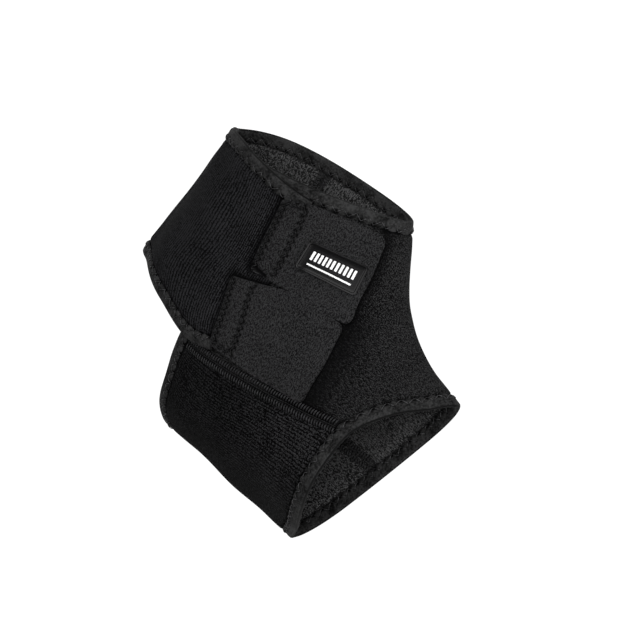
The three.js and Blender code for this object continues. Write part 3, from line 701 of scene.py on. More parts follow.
def partOf(line, names):
    keep = np.isin(line["panel"], names)
    return line["points"][keep], line["run"][keep]


# Zigzag stitches of a tape: 1 at the holes near its fold, 0 at the holes beside the cloth
def zigzagShare(run):
    return np.abs((run / edgeTape["pitch"]) % 1 - 0.5) * 2


# The stitches' pull, as depth and reach: at the holes beside the cloth, at those near the fold, and
# along the thread between them, which shows from one distance to another
stitchDent = {"outer": (1.3, 1.15), "inner": (0.45, 0.65), "line": (0.22, 0.45), "slope": 0.75,
              "from": 2.4, "to": 6.4, "fade": 0.8}


# How deep the stitches pull the cloth down, at a place along the tape and across it
def stitchPull(run, into):
    pitch, holeOut = edgeTape["pitch"], edgeTape["holeOut"]
    toOuter = run - (np.round(run / pitch - 0.5) + 0.5) * pitch
    toInner = run - np.round(run / pitch) * pitch
    deep, reach = stitchDent["outer"]
    pull = deep * np.exp(-(toOuter ** 2 + (into - holeOut) ** 2) / reach ** 2)
    deep, reach = stitchDent["inner"]
    pull += deep * np.exp(-(toInner ** 2 + (into - edgeTape["holeIn"]) ** 2) / reach ** 2)
    deep, reach = stitchDent["line"]
    beside = into - holeOut + (holeOut - edgeTape["holeIn"]) * zigzagShare(run)
    shown = (ease((into - stitchDent["from"]) / stitchDent["fade"])
             * ease((stitchDent["to"] - into) / stitchDent["fade"]))
    return pull + deep * np.exp(-(beside * stitchDent["slope"] / reach) ** 2) * shown


# Slow swells of soft cloth, from a few crossing waves
def swell(points, size, seed, waves=7, spread=(0.7, 1.5), phase=6.28, strength=0.25):
    turn = np.random.default_rng(seed)
    total = np.zeros(points.shape[:-1])
    for _ in range(waves):
        wave = unit(turn.normal(size=3)) * 2 * np.pi / (size * turn.uniform(*spread))
        total += np.sin(points @ wave + turn.uniform(0, phase))
    return total * strength


panelSetup = {
    "flap": {"name": "cuffFlap", "node": "cuff_flap", "slot": "jersey", "finish": jersey,
             "tapes": [(legLine, ["flap"]), (heelLine, ["flap", "foot"])],
             "seams": [farLegLine], "swell": 0.6},
    "foot": {"name": "footBand", "node": "foot_band", "slot": "jersey", "finish": footJersey,
             "tapes": [(heelLine, ["foot", "instep"]), (toeLine, ["foot", "instep"])],
             "seams": [nearSeamLine, farFootLine], "swell": 0.5},
    "instep": {"name": "instepPanel", "node": "instep_panel", "slot": "loop_fabric",
               "finish": loopCloth,
               "tapes": [(legLine, ["instep"]), (toeLine, ["foot", "instep"]),
                         (heelLine, ["instep", "foot"])],
               "seams": [nearSeamLine, farFootLine, farLegLine], "swell": 0.6},
}


# Straps, as columns of (height, girth) from top to bottom
upperColumns = [[(0.067, 0.436), (0.206, 0.443), (0.344, 0.444)],
                [(0.048, 0.370), (0.220, 0.379), (0.379, 0.389)],
                [(0.056, 0.308), (0.245, 0.321), (0.430, 0.339)],
                [(0.068, 0.230), (0.270, 0.254), (0.490, 0.286)],
                [(0.084, 0.140), (0.299, 0.179), (0.549, 0.232)]]
lowerColumns = [[(0.386, 0.471), (0.497, 0.487), (0.592, 0.529)],
                [(0.397, 0.410), (0.539, 0.440), (0.638, 0.486)],
                [(0.412, 0.357), (0.583, 0.401), (0.686, 0.456)],
                [(0.474, 0.300), (0.631, 0.357), (0.739, 0.432)],
                [(0.543, 0.244), (0.691, 0.318), (0.808, 0.415)]]

# Soft valleys where the straps hold the cloth down, darkened with painted shade: a strap's edge
# from one of its places to another, the panel under it, and the valley's depth and reach
valleys = [(upperColumns, (0, 0), (0, 1), "flap", 0.9, 3.8),
           (lowerColumns, (0, 0), (0, 1), "flap", 0.9, 3.8),
           (lowerColumns, (0, 0), (0.32, 0), "flap", 0.9, 2.2),
           (upperColumns, (1, 0), (1, 1), "instep", 1.0, 6.0),
           (lowerColumns, (1, 0), (1, 1), "instep", 1.3, 16.0)]
valleyPaintedShade = 0.9


# Depth of the valleys under the straps, and how much painted shade darkens them
def valleyAt(key, points, samples=40):
    deep, dark = np.zeros(points.shape[:-1]), np.zeros(points.shape[:-1])
    along = np.linspace(0, 1, samples)
    for columns, start, end, panel, depth, reach in valleys:
        if panel == key:
            place = [start[k] + (end[k] - start[k]) * along for k in range(2)]
            height, girth = patchAt(columns, *place)
            edge = shellPoint(height, girth, panels[key][1](height, girth))
            near = np.exp(-(nearestOn(points, edge, along)[0] / reach) ** 2)
            deep = np.maximum(deep, depth * near)
            dark = np.maximum(dark, valleyPaintedShade * near)
    return deep, dark


# How the panels are cut and sewn: gaps that are left at their sides and ends, half the wall under
# a tape, and the distances from a tape or a seam over which the wall fills out and swells. A dip
# and a shade are a depth, a distance and the run over which they fade
panelCloth = {"step": 0.85, "quickStep": 2.0, "measureStep": 2.0, "sideGap": 0.1, "endGap": 1.2,
              "far": 99.0, "underTape": 0.5, "fillFrom": 5.0, "fillRun": 3.2, "pull": 0.8,
              "pullFrom": 9,
              "pullRun": 2, "swellSize": 34, "calmTape": (7, 12), "calmSeam": (4, 10),
              "inSwell": 0.8, "inValley": 0.6, "seamDip": (0.3, 4.6, 1.6), "rim": 0.9,
              "rimMost": 0.6, "outLeast": 0.2, "inLeast": 0.3, "pullShade": 0.9,
              "tapeShade": (0.45, 7.6, 1.6), "seamShade": (0.6, 4.4, 1.0)}


def fading(key, gap):
    depth, distance, run = panelCloth[key]
    return depth * ease((distance - gap) / run)


def addPanel(key):
    setup = panelSetup[key]
    at, lift = panels[key]
    cloth = panelCloth
    step = cloth["step"]
    wide = joinStretches([stretchOf(key, (0, 0.5), (1, 0.5), cloth["measureStep"])])["total"]
    deep = joinStretches([stretchOf(key, (0.5, 0), (0.5, 1), cloth["measureStep"])])["total"]
    side, end = cloth["sideGap"] / wide, cloth["endGap"] / deep
    a = np.linspace(side, 1 - side, round(wide / step))[None, :]
    b = np.linspace(end, 1 - end, round(deep / step))[:, None]
    height, girth = at(a, b)
    raised = lift(height, girth)
    points = shellPoint(height, girth, raised)
    edgeGap = np.full(height.shape, cloth["far"])
    seamGap = np.full(height.shape, cloth["far"])
    pull = np.zeros(height.shape)
    for line, names in setup["tapes"]:
        gap, place = nearestOn(points, *partOf(line, names))
        pulled = stitchPull(place, gap) * ease((cloth["pullFrom"] - gap) / cloth["pullRun"])
        pull = np.where(gap < edgeGap, pulled, pull)
        edgeGap = np.minimum(gap, edgeGap)
    for line in setup["seams"]:
        seamGap = np.minimum(seamGap, nearestOn(points, line["points"], line["run"])[0])
    half = brace["wall"] / 2
    filled = ease((edgeGap - cloth["fillFrom"]) / cloth["fillRun"])
    inner = outer = cloth["underTape"] + (half - cloth["underTape"]) * filled
    if key == "flap":
        along = girth - lookUp(flapEndLine, height)
        run = (along - cover["pressStart"]) / (cover["pressEnd"] - cover["pressStart"])
        outer = np.minimum(cover["endSkin"] + (half - cover["endSkin"]) * ease(run), outer)
    (tapeFrom, tapeRun), (seamFrom, seamRun) = cloth["calmTape"], cloth["calmSeam"]
    calm = ease((edgeGap - tapeFrom) / tapeRun) * ease((seamGap - seamFrom) / seamRun)
    wave = setup["swell"] * calm * swell(points, cloth["swellSize"], len(key))
    dip = pull * cloth["pull"] + fading("seamDip", seamGap)
    valley, valleyShade = valleyAt(key, points)
    outer = outer - dip + wave - valley
    inner = inner - dip - wave * cloth["inSwell"] + valley * cloth["inValley"]
    low = np.minimum(edgeGap, a * wide) < cloth["rim"]
    most = cloth["rimMost"]
    outer = np.where(low, np.minimum(outer, most), np.maximum(outer, cloth["outLeast"]))
    inner = np.where(low, np.minimum(inner, most), np.maximum(inner, cloth["inLeast"]))
    # Painted shade: in the stitches' dents, in a band beside the tapes and the seams, and in the
    # valleys under the straps
    dents = (pull * cloth["pullShade"] + fading("tapeShade", edgeGap)
             + fading("seamShade", seamGap) + valleyShade)
    uv = np.stack(np.broadcast_arrays(a * wide, b * deep), -1)
    piece = addSlab(setup["name"], shellPoint(height, girth, raised + outer),
                    shellPoint(height, girth, raised - inner), uv, [setup["finish"], lining], dents)
    finishPiece(piece, setup["node"], setup["slot"])
    return piece, wide, deep


panelPieces = {key: addPanel(key) for key in panelSetup}
print("panels made")


# Section of the folded tape: across from the fold, and out from the cloth's middle
def tapeSection():
    lip = [(1.015, 0.66), (1.025, 0.82), (1.0, 0.95)]
    face = [(share, 1.0) for share in (0.93, 0.85, 0.77, 0.69, 0.61, 0.53, 0.45, 0.37, 0.29, 0.22)]
    fold = [(0.17 * (1 - math.sin(math.radians(angle))), math.cos(math.radians(angle)))
            for angle in (15, 30, 45, 60, 75, 90)]
    upper = lip + face + fold
    lower = [(into, -out) for into, out in reversed(upper[:-1])]
    hollow = [(0.97, -0.56), (0.2, -0.56), (0.2, 0.56), (0.97, 0.56)]
    section = np.array(upper[:-1] + [(0.0, 0.0)] + lower + hollow)
    return section[:, 0], section[:, 1]


def tapePlace(line, into, out):
    height, girth = walkInto(line, into)
    return shellPoint(height, girth, out + liftOn(line, height, girth))


# How the tape lies: the scallops between its stitches, the pillows that swell in them, the lower
# strip beside the cloth, and how the fold stands proud
tapeShape = {"scallopPower": 0.6, "scallopFrom": 0.5, "scallopRun": 0.3, "proudTo": 0.5,
             "pillow": 0.42, "pillowAt": 4.7, "pillowReach": 1.0, "wander": (0.37, 0.11, 1.7),
             "plump": 0.6, "lower": 0.3, "lowerFrom": 4.2, "lowerRun": 1.6, "pull": 0.95,
             "shade": 1.05, "outside": 0.6, "uvWidth": 5.9}


def loweredAt(into):
    return tapeShape["lower"] * ease((into - tapeShape["lowerFrom"]) / tapeShape["lowerRun"])


def addTape(name, node, line):
    shape = tapeShape
    across, outShare = tapeSection()
    acrossShare = across[None, :]
    run = line["run"][:, None]
    if line["closed"]:
        run = run * (round(line["total"] / edgeTape["pitch"]) * edgeTape["pitch"] / line["total"])
    share = zigzagShare(run)
    cut = edgeTape["scallop"] * (1 - share ** shape["scallopPower"])
    cutShare = ease((acrossShare - shape["scallopFrom"]) / shape["scallopRun"])
    into = acrossShare * (edgeTape["width"] - cut * cutShare)
    into = into - edgeTape["proud"] * np.clip(1 - acrossShare / shape["proudTo"], 0, 1)
    side = np.sign(outShare)[None, :]
    visible = (np.abs(outShare) > shape["outside"])[None, :]
    slow, slower, sway = shape["wander"]
    wander = 0.5 + 0.5 * np.sin(run * slow + sway * np.sin(run * slower))
    pillow = np.exp(-((into - shape["pillowAt"]) / shape["pillowReach"]) ** 2)
    pillow = shape["pillow"] * pillow * share * (shape["plump"] * (1 + wander))
    pull = stitchPull(run, into)
    shift = side * (pillow - loweredAt(into) - shape["pull"] * pull)
    out = outShare[None, :] * edgeTape["half"] + np.where(visible, shift, 0)
    points = tapePlace(line, into, out)
    rows, columns = points.shape[:2]
    faces = gridFaces(rows, columns, closed=line["closed"])
    i = np.arange(rows if line["closed"] else rows - 1)
    faces += np.stack([i * columns + columns - 1, i * columns, (i + 1) % rows * columns,
                       (i + 1) % rows * columns + columns - 1], -1).tolist()
    if not line["closed"]:
        faces.append(list(range(columns - 1, -1, -1)))
        faces.append([(rows - 1) * columns + k for k in range(columns)])
    steps = np.hypot(np.diff(across * shape["uvWidth"]), np.diff(outShare * edgeTape["half"]))
    around = np.concatenate([[0], np.cumsum(steps)])
    uv = np.stack(np.broadcast_arrays(run, around[None, :]), -1)
    # Painted shade in the stitches' dents; the fold's thin edge and the hidden hollow are painted
    # fully dark, as shade
    dents = np.where(visible, pull * shape["shade"], 1.0)
    piece = addPiece(name, points, faces, uv, [tape], None, dents)
    finishPiece(piece, node, "edge_tape")
    return piece


# A place on a line between its stations, as a line of its own
def resampled(line, run):
    run = run % line["total"] if line["closed"] else np.clip(run, 0, line["run"][-1])
    stations = line["run"]
    i = np.clip(np.searchsorted(stations, run) - 1, 0, len(stations) - 2)
    f = np.clip((run - stations[i]) / (stations[i + 1] - stations[i]), 0, 1)
    sameTurn = np.abs(line["girth"][i + 1] - line["girth"][i]) < 1
    part = {"panel": np.where(f > 0.5, line["panel"][i + 1], line["panel"][i]), "closed": False}
    for key in ("height", "girth"):
        mixed = line[key][i] * (1 - f) + line[key][i + 1] * f
        part[key] = np.where(sameTurn, mixed, np.where(f > 0.5, line[key][i + 1], line[key][i]))
    for key in ("along", "towards"):
        part[key] = line[key][i] * (1 - f)[:, None] + line[key][i + 1] * f[:, None]
    return part


# Tape threads: how far they reach past the outer holes, how proud the two legs of the zigzag stand,
# how deep their ends go in, and the points of each
tapeStitch = {"over": 0.15, "proud": (0.26, 0.06), "round": 0.6, "sink": 0.6, "points": 8}


def threadOnTape(line, side):
    pitch = edgeTape["pitch"]
    scale = 1.0
    if line["closed"]:
        scale = line["total"] / (round(line["total"] / pitch) * pitch)
    count = int(line["total"] / scale / (pitch / 2))
    u = np.linspace(0, 1, tapeStitch["points"])
    k = np.arange(count)[:, None]
    run = ((k + u) * pitch / 2).ravel() * scale
    depth = np.where(k % 2 == 0, u, 1 - u).ravel()
    into = edgeTape["holeIn"] + (edgeTape["holeOut"] + tapeStitch["over"] - edgeTape["holeIn"]) * depth
    proud = np.where(k % 2 == 0, *tapeStitch["proud"])
    rise = (proud * np.sin(np.pi * u) ** tapeStitch["round"]
            - tapeStitch["sink"] * (np.abs(u - 0.5) * 2) ** 5).ravel()
    part = resampled(line, run)
    height, girth = walkInto(part, into[:, None])
    out = side * (edgeTape["half"] - loweredAt(into) + rise)
    points = shellPoint(height, girth, out[:, None] + liftOn(part, height, girth))[:, 0]
    away = slopesOf(height, girth)[2][:, 0] * side
    along = unit(part["along"])
    stitches = [slice(k * len(u), (k + 1) * len(u)) for k in range(count)]
    return [(points[one], away[one]) for one in stitches
            if along[one][0] @ along[one][-1] > edgeTape["straight"]]


tapeSetup = [("legTape", "leg_binding", legLine), ("toeTape", "toe_binding", toeLine),
             ("heelTape", "heel_binding", heelLine)]
tapeThreads = {}
for name, node, line in tapeSetup:
    addTape(name, node, line)
    paths = threadOnTape(line, 1) + threadOnTape(line, -1)
    tapeThreads[name] = addThreads(name + "Stitches", paths, edgeTape["thread"], tapeThread)
    finishPiece(tapeThreads[name], None, "seam_thread")
print("tapes made")

# Flat seams, on both faces of the cloth: a row of cover threads on each side of one needle thread
flatSeam = {"width": 6.8, "rung": 1.5, "thread": 0.37, "surface": 1.05, "bead": 0.65, "round": 0.6,
            "middle": 0.7, "fromMiddle": 0.2, "slant": 0.3, "thin": 0.7, "thicker": 0.5,
            "points": 8, "needle": 0.6, "needleWave": 0.12, "needleShade": 0.7, "finer": 5,
            "tapeGap": 6.6}


# Where a seam comes out from below the tapes
def clearOfTapes(line, tapes):
    gaps = [nearestOn(line["points"], *partOf(other, names))[0] for other, names in tapes]
    clear = np.nonzero(np.min(gaps, axis=0) > flatSeam["tapeGap"])[0]
    return line["run"][clear[0]], line["run"][clear[-1]]


def addSeam(name, node, line, tapes):
    start, end = clearOfTapes(line, tapes)
    rung, middle = flatSeam["rung"], flatSeam["middle"]
    u = np.linspace(0, 1, flatSeam["points"])
    arch = np.sin(np.pi * u)
    fine = np.arange(start, end, rung / flatSeam["finer"])
    wave = np.sin(2 * np.pi * (fine - start) / rung)
    paths = []

    def addPath(part, across, rise, side, *more):
        height, girth = walkInto(part, across[:, None])
        out = liftOn(part, height, girth) + side * rise[:, None]
        paths.append((shellPoint(height, girth, out)[:, 0],
                      slopesOf(height, girth)[2][:, 0] * side, *more))

    for side, half in ((1, -1), (1, 1), (-1, -1), (-1, 1)):
        for k in range(round((end - start) / rung)):
            run = start + (k + 0.5 + half * flatSeam["fromMiddle"]) * rung
            part = resampled(line, run + flatSeam["slant"] * rung * (u - 0.5))
            across = half * (middle + (flatSeam["width"] / 2 - middle) * u)
            addPath(part, across, flatSeam["surface"] + flatSeam["bead"] * arch ** flatSeam["round"],
                    side, flatSeam["thin"] + flatSeam["thicker"] * arch)
    for side in (1, -1):
        # The needle thread, sunk in the groove between the bead rows, darkened with painted shade
        addPath(resampled(line, fine), np.zeros(len(fine)),
                flatSeam["surface"] + flatSeam["needleWave"] * wave, side,
                np.full(len(fine), flatSeam["needle"]), flatSeam["needleShade"])
    finishPiece(addThreads(name, paths, flatSeam["thread"], seamThread), node, "seam_thread")


addSeam("nearSeamStitches", "near_seam", nearSeamLine,
        [(heelLine, ["foot", "instep"]), (toeLine, ["foot", "instep"])])
addSeam("farFootSeamStitches", "far_foot_seam", farFootLine,
        [(heelLine, ["foot", "flap"]), (toeLine, ["foot", "instep"])])
addSeam("farLegSeamStitches", "far_leg_seam", farLegLine,
        [(legLine, ["flap"]), (heelLine, ["foot", "flap"])])
print("seams made")

# Straps in millimetres: half their thickness, the rounding of their corners, and the stitched box
strap = {"half": 0.7, "corner": 4.6, "seamCorner": 1.0, "lowCorner": 3.2, "cornerRows": 8,
         "step": 0.48, "quickStep": 1.4, "pitch": 3.7, "swing": 0.75, "inset": 1.9, "box": 12.6,
         "boxTop": 2.0, "boxEnd": 2.2, "boxOpen": 1.0, "thread": 0.2, "bevel": 0.35,
         "bevelAngle": 50}


def strapSizes(columns, samples=21):
    share = np.linspace(0, 1, samples)
    height, girth = patchAt(columns, share[None, :], share[:, None])
    points = shellPoint(height, girth, strapMiddle(height, girth))
    widths = np.linalg.norm(np.diff(points, axis=1), axis=2).sum(1)
    depth = np.linalg.norm(np.diff(points, axis=0), axis=2).sum(0).mean()
    return share, widths, depth


# A place on a strap, in millimetres from its seam edge and from its top
def onStrap(columns, sizes, x, y):
    share, widths, depth = sizes
    b = y / depth
    return patchAt(columns, x / np.interp(b, share, widths), b)


def cornerCut(distance, radius):
    d = np.clip(distance, 0, radius)
    return radius - np.sqrt(radius ** 2 - (radius - d) ** 2)


# Stitched box: zigzag up the seam edge, along the strap's top or bottom, and down again
def boxPath(depth, isUpper):
    left, right = strap["inset"], strap["box"]
    top, bottom = strap["boxTop"], depth - strap["boxEnd"]
    if isUpper:
        corners = [(left, bottom), (left, top), (right, top), (right, bottom - strap["boxOpen"])]
    else:
        corners = [(right, top), (right, bottom), (left, bottom), (left, top)]
    corners = np.array(corners)
    length = np.concatenate([[0], np.cumsum(np.linalg.norm(np.diff(corners, axis=0), axis=1))])
    count = round(length[-1] / strap["pitch"] * 2)
    run = np.linspace(0, length[-1], count + 1)
    x, y = (np.interp(run, length, corners[:, k]) for k in range(2))
    direction = np.gradient(np.stack([x, y], -1), axis=0)
    across = unit(np.stack([-direction[:, 1], direction[:, 0]], -1))
    swing = strap["swing"] * np.where(np.arange(count + 1) % 2, 1, -1)
    return x + across[:, 0] * swing, y + across[:, 1] * swing


# Dents and swells of a strap: the holes and rows of its box, its sewn edge, the pinched fold at the
# upper strap's lower corner, and the pad inside the box. The holes, rows, sewn edge and pinched fold
# are also darkened with painted shade
strapShape = {"hole": (1.5, 0.85), "holeDent": 0.6, "rowReach": 1.0, "rowDent": 0.3,
              "edgeDent": 0.5, "edgeRun": 1.6, "edgeStart": 0.4, "most": 1.1, "pinchAt": 3.4,
              "pinchSlant": 0.26, "pinchTo": 11.5, "pinchRun": 3, "pinchDent": 1.2,
              "pinchMost": 1.25, "pinchShade": 2.0, "pad": 0.35, "padAt": 7.2, "padReach": 3.2,
              "padRun": 4, "swell": 0.25, "swellSize": 26, "flowRun": 6, "inSwell": 0.3,
              "holeShade": 0.9, "rowShade": 0.12, "edgeShade": 0.15}
strapStitch = {"points": 7, "under": 0.1, "low": 0.05, "proud": 0.1, "sink": 0.5}


def addStrap(name, node, columns, isUpper):
    sizes = strapSizes(columns)
    share, widths, depth = sizes
    shape = strapShape
    corner = strap["corner"]
    step = strap["step"]
    y = np.linspace(0, depth, round(depth / step))
    endRows = corner * (1 - np.cos(np.linspace(0, np.pi / 2, strap["cornerRows"])))
    y = np.concatenate([endRows, y[(y > corner) & (y < depth - corner)], depth - endRows])
    y = np.unique(y)[:, None]
    width = np.interp(y / depth, share, widths)
    fromSide = np.minimum(y, depth - y)
    cut = np.where((y > depth / 2) & isUpper, strap["lowCorner"], strap["seamCorner"])
    start = cornerCut(fromSide, cut)
    end = width - cornerCut(fromSide, corner)
    x = start + (end - start) * np.linspace(0, 1, round(widths.mean() / step))[None, :]
    y = y + 0 * x
    height, girth = onStrap(columns, sizes, x, y)
    holesX, holesY = boxPath(depth, isUpper)
    deep, reach = shape["hole"]
    gap = (x[..., None] - holesX) ** 2 + (y[..., None] - holesY) ** 2
    holes = deep * np.exp(-gap / reach ** 2).sum(-1)
    rowGap = np.minimum(np.abs(x - strap["inset"]), np.abs(x - strap["box"]))
    row = np.exp(-(rowGap / shape["rowReach"]) ** 2)
    fromEdge = strap["inset"] - shape["edgeStart"] - x
    seamEdge = ease(fromEdge / shape["edgeRun"]) * shape["edgeDent"]
    dents = shape["holeDent"] * holes + shape["rowDent"] * row + seamEdge
    dents = np.minimum(dents, shape["most"])
    if isUpper:
        fold = y - depth + shape["pinchAt"] - shape["pinchSlant"] * x
        pinch = np.exp(-fold ** 2) * ease((shape["pinchTo"] - x) / shape["pinchRun"])
        dents = np.minimum(dents + shape["pinchDent"] * pinch, shape["pinchMost"])
        # The pinched fold's painted shade joins that of the holes
        holes = holes + shape["pinchShade"] * pinch
    pad = shape["pad"] * np.exp(-((x - shape["padAt"]) / shape["padReach"]) ** 2)
    pad = pad * ease(fromSide / shape["padRun"])
    middle = strapMiddle(height, girth)
    flow = ease(np.minimum(x, width - x) / shape["flowRun"]) * ease(fromSide / shape["flowRun"])
    points = shellPoint(height, girth, middle)
    rough = shape["swell"] * swell(points, shape["swellSize"], 5 if isUpper else 8) * flow
    outer = middle + strap["half"] + pad - dents + rough
    inner = middle - strap["half"] + rough * shape["inSwell"]
    # Painted shade in the holes and rows of the box, along the sewn edge and in the pinched fold
    shades = shape["holeShade"] * holes + shape["rowShade"] * row + shape["edgeShade"] * seamEdge
    piece = addSlab(name, shellPoint(height, girth, outer), shellPoint(height, girth, inner),
                    np.stack([x, y], -1), [strapCloth], shades)
    bevelEdges(piece, strap["bevel"], strap["bevelAngle"])
    finishPiece(piece, node, "strap_fabric")
    u = np.linspace(0, 1, strapStitch["points"])
    rise = (strapStitch["low"] + strapStitch["proud"] * np.sin(np.pi * u)
            - strapStitch["sink"] * (np.abs(u - 0.5) * 2) ** 6)
    paths = []
    for k in range(len(holesX) - 1):
        height, girth = onStrap(columns, sizes, holesX[k] + (holesX[k + 1] - holesX[k]) * u,
                                holesY[k] + (holesY[k + 1] - holesY[k]) * u)
        out = strapMiddle(height, girth) + strap["half"] - strapStitch["under"] + rise
        paths.append((shellPoint(height, girth, out), slopesOf(height, girth)[2]))
    threads = addThreads(name + "Stitches", paths, strap["thread"], strapThread)
    finishPiece(threads, None, "seam_thread")
    return piece, threads, widths.mean(), depth


upperStrap, upperThreads, upperWide, upperDeep = addStrap(
    "upperStrap", "upper_strap", upperColumns, True)
lowerStrap, lowerThreads, lowerWide, lowerDeep = addStrap(
    "lowerStrap", "lower_strap", lowerColumns, False)
print("straps made")

# Rubber label with a raised border, a row of plain upright bars and a thin line under them
label = {"width": 31.8, "depth": 14.8, "thick": 1.2, "corner": 2.0, "rounding": 0.18,
         "roundingAngle": 35, "clear": 0.1, "lip": 0.25, "border": 0.75, "slope": 0.2, "floor": 0.35,
         "stripWide": 1.5, "stripDeep": 2.4}
labelMarks = {"bars": 11, "barWide": 1.25, "barTall": 4.4, "barStep": 2.2, "barPlace": 1.3,
              "lineWide": 23.25, "lineTall": 0.8, "linePlace": -3.3, "rise": 0.12, "thick": 0.5,
              "corner": 0.25, "strip": 1.2}
labelColumns = [[(0.181, 0.345), (0.241, 0.352), (0.298, 0.359)],
                [(0.205, 0.271), (0.269, 0.281), (0.336, 0.289)],
                [(0.232, 0.188), (0.306, 0.202), (0.390, 0.215)]]


# Bends a flat piece, made about the origin, onto the strap under the label
def wrapOnLabel(piece):
    mesh = piece.data
    flat = np.empty(len(mesh.vertices) * 3)
    mesh.vertices.foreach_get("co", flat)
    flat = flat.reshape(-1, 3) / mm
    height, girth = patchAt(labelColumns, 0.5 + flat[:, 0] / label["width"],
                            0.5 - flat[:, 1] / label["depth"])
    base = strapMiddle(height, girth) + strap["half"] + label["clear"]
    points = shellPoint(height, girth, base + flat[:, 2])
    mesh.vertices.foreach_set("co", ((points + brace["place"]) * mm).ravel())
    mesh.update()


# Flat plate with its upright edges rounded
def addPlate(name, width, depth, thick, corner, segments, finish):
    bpy.ops.object.select_all(action="DESELECT")
    bpy.ops.mesh.primitive_cube_add(size=1, location=(0, 0, thick / 2 * mm))
    plate = bpy.context.object
    plate.name = name
    plate.scale = (width * mm, depth * mm, thick * mm)
    bpy.ops.object.transform_apply(location=True, rotation=False, scale=True)
    bpy.ops.object.mode_set(mode="EDIT")
    bpy.ops.mesh.select_mode(type="EDGE")
    bpy.ops.mesh.select_all(action="DESELECT")
    bpy.ops.object.mode_set(mode="OBJECT")
    for edge in plate.data.edges:
        ends = [plate.data.vertices[k].co for k in edge.vertices]
        edge.select = abs(ends[0].z - ends[1].z) > thick / 2 * mm
    bpy.ops.object.mode_set(mode="EDIT")
    bpy.ops.mesh.bevel(offset=corner * mm, segments=segments, affect="EDGES")
    bpy.ops.object.mode_set(mode="OBJECT")
    plate.data.materials.append(finish)
    return plate


def selectTop(plate, height):
    for part in (plate.data.vertices, plate.data.edges, plate.data.polygons):
        part.foreach_set("select", [False] * len(part))
    for face in plate.data.polygons:
        face.select = face.normal.z > 0.9 and abs(face.center.z - height * mm) < 0.01 * mm


# Cuts a flat piece into strips so that it can bend
def cutStrips(piece, length, step, axis):
    selectOnly(piece)
    bpy.ops.object.mode_set(mode="EDIT")
    for k in range(1, int(length / step)):
        place = [0.0, 0.0, 0.0]
        place[axis] = (k * step - length / 2) * mm
        direction = [0.0, 0.0, 0.0]
        direction[axis] = 1.0
        bpy.ops.mesh.select_all(action="SELECT")
        bpy.ops.mesh.bisect(plane_co=place, plane_no=direction)
    bpy.ops.object.mode_set(mode="OBJECT")


labelPlate = addPlate("labelPatch", label["width"], label["depth"], label["thick"],
                      label["corner"], 6, rubber)
selectTop(labelPlate, label["thick"])
bpy.ops.object.mode_set(mode="EDIT")
bpy.ops.mesh.select_mode(type="FACE")
bpy.ops.mesh.inset(thickness=label["lip"] * mm, depth=0.0)
bpy.ops.mesh.inset(thickness=label["border"] * mm, depth=0.0)
bpy.ops.mesh.inset(thickness=label["slope"] * mm, depth=-label["floor"] * mm)
bpy.ops.object.mode_set(mode="OBJECT")
bevelEdges(labelPlate, label["rounding"], label["roundingAngle"])
cutStrips(labelPlate, label["width"], label["stripWide"], 0)
cutStrips(labelPlate, label["depth"], label["stripDeep"], 1)
wrapOnLabel(labelPlate)
selectOnly(labelPlate)
bpy.ops.object.shade_smooth_by_angle(angle=math.radians(label["roundingAngle"]))
finishPiece(labelPlate, "label_patch", "label_rubber")


def addBars(name, count, wide, tall, step, middle):
    marks = labelMarks
    bottom = label["thick"] - label["floor"] + marks["rise"] - marks["thick"]
    bars = []
    for k in range(count):
        bar = addPlate(name if k == 0 else name + str(k), wide, tall, marks["thick"],
                       marks["corner"], 2, white)
        cutStrips(bar, wide, marks["strip"], 0)
        cutStrips(bar, tall, marks["strip"], 1)
        for vertex in bar.data.vertices:
            vertex.co.x += (k - (count - 1) / 2) * step * mm
            vertex.co.y += middle * mm
            vertex.co.z += bottom * mm
        bars.append(bar)
    bpy.ops.object.select_all(action="DESELECT")
    for bar in bars:
        bar.select_set(True)
    bpy.context.view_layer.objects.active = bars[0]
    bpy.ops.object.join()
    wrapOnLabel(bars[0])
    finishPiece(bars[0], None, "label_rubber")


addBars("labelBars", labelMarks["bars"], labelMarks["barWide"], labelMarks["barTall"],
        labelMarks["barStep"], labelMarks["barPlace"])
addBars("labelLine", 1, labelMarks["lineWide"], labelMarks["lineTall"], 0, labelMarks["linePlace"])
print("label made")

# Cut sizes of the cloth pieces, worked out in metres and not used further; a tape is 14.5 mm wide
# before it is folded
for key, (piece, wide, deep) in panelPieces.items():
    wide / 1000
    deep / 1000
upperWide / 1000
upperDeep / 1000
lowerWide / 1000
lowerDeep / 1000
for name, node, line in tapeSetup:
    line["total"] / 1000

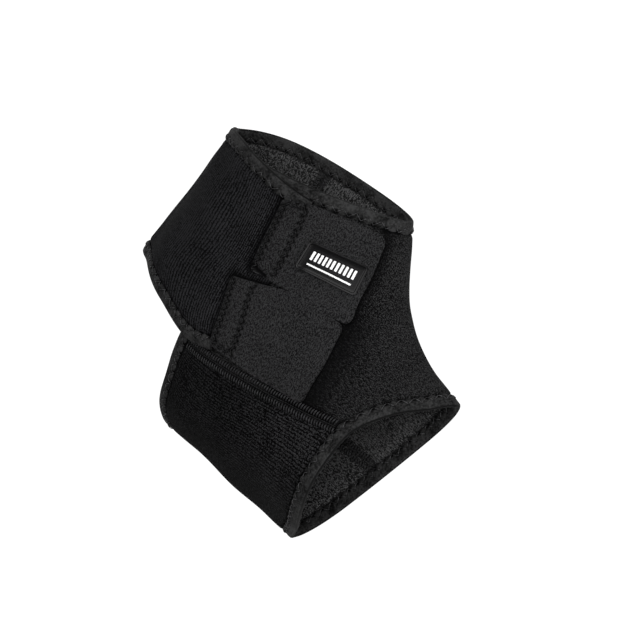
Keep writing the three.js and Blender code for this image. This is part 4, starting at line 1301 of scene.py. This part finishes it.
# Floor, light and camera, in metres and degrees
stage = {"floor": 3.0, "floorHeight": -0.0005, "floorColour": (0.10, 0.10, 0.10), "floorGlow": 1.02,
         "floorGrain": 900, "sky": 0.21,
         "key": {"place": (0.12, 0.58, 1.0), "size": 1.15, "power": 16.5},
         "fill": {"place": (0.95, 0.25, 0.42), "size": 0.5, "power": 4.2}}
camera = {"tilt": 35.0, "distance": 1.0, "lens": 119.05, "target": (0.009868, 0.019938, 0.020)}

bpy.ops.mesh.primitive_plane_add(size=stage["floor"], location=(0, 0, stage["floorHeight"]))
floor = bpy.context.object
floor.name = "floor"
floorFinish = Finish("floorPaper")
grain = floorFinish.noise(floorFinish.place("Object"), stage["floorGrain"])
floor.data.materials.append(floorFinish.close(
    Base_Color=(*stage["floorColour"], 1), Roughness=grain * 0.1 + 0.8, Specular_IOR_Level=0.0,
    Emission_Color=(1, 1, 1, 1), Emission_Strength=stage["floorGlow"]))

sky = bpy.data.worlds.new("studio")
bpy.context.scene.world = sky
sky.use_nodes = True
sky.node_tree.nodes["Background"].inputs[0].default_value = (1, 1, 1, 1)
sky.node_tree.nodes["Background"].inputs[1].default_value = stage["sky"]


# Puts a lamp or camera at a place, its own axes along three directions
def placeThing(name, data, side, up, back, place):
    thing = bpy.data.objects.new(name, data)
    bpy.context.scene.collection.objects.link(thing)
    rows = [[side[k], up[k], back[k], place[k]] for k in range(3)]
    thing.matrix_world = Matrix(rows + [[0, 0, 0, 1]])
    return thing


def addLight(name, setup):
    light = bpy.data.lights.new(name, "AREA")
    light.shape = "DISK"
    light.size = setup["size"]
    light.energy = setup["power"]
    aim = unit(np.array(setup["place"]))
    side = unit(np.cross((0, 1, 0.1), aim))
    placeThing(name, light, side, np.cross(aim, side), aim, setup["place"])


addLight("keyLight", stage["key"])
addLight("fillLight", stage["fill"])

tilt = math.radians(camera["tilt"])
half = math.sqrt(0.5)
toCamera = np.array([math.sin(tilt) * half, math.sin(tilt) * half, math.cos(tilt)])
right = np.array([math.cos(tilt) * half, math.cos(tilt) * half, -math.sin(tilt)])
upward = np.array([-half, half, 0.0])
eye = np.array(camera["target"]) + camera["distance"] * toCamera
lens = bpy.data.cameras.new("camera")
lens.lens = camera["lens"]
lens.sensor_width = 36
lens.clip_start = 0.05
bpy.context.scene.camera = placeThing("camera", lens, right, upward, toCamera, eye)
bpy.context.scene.view_settings.view_transform = "Standard"
print("stage made")
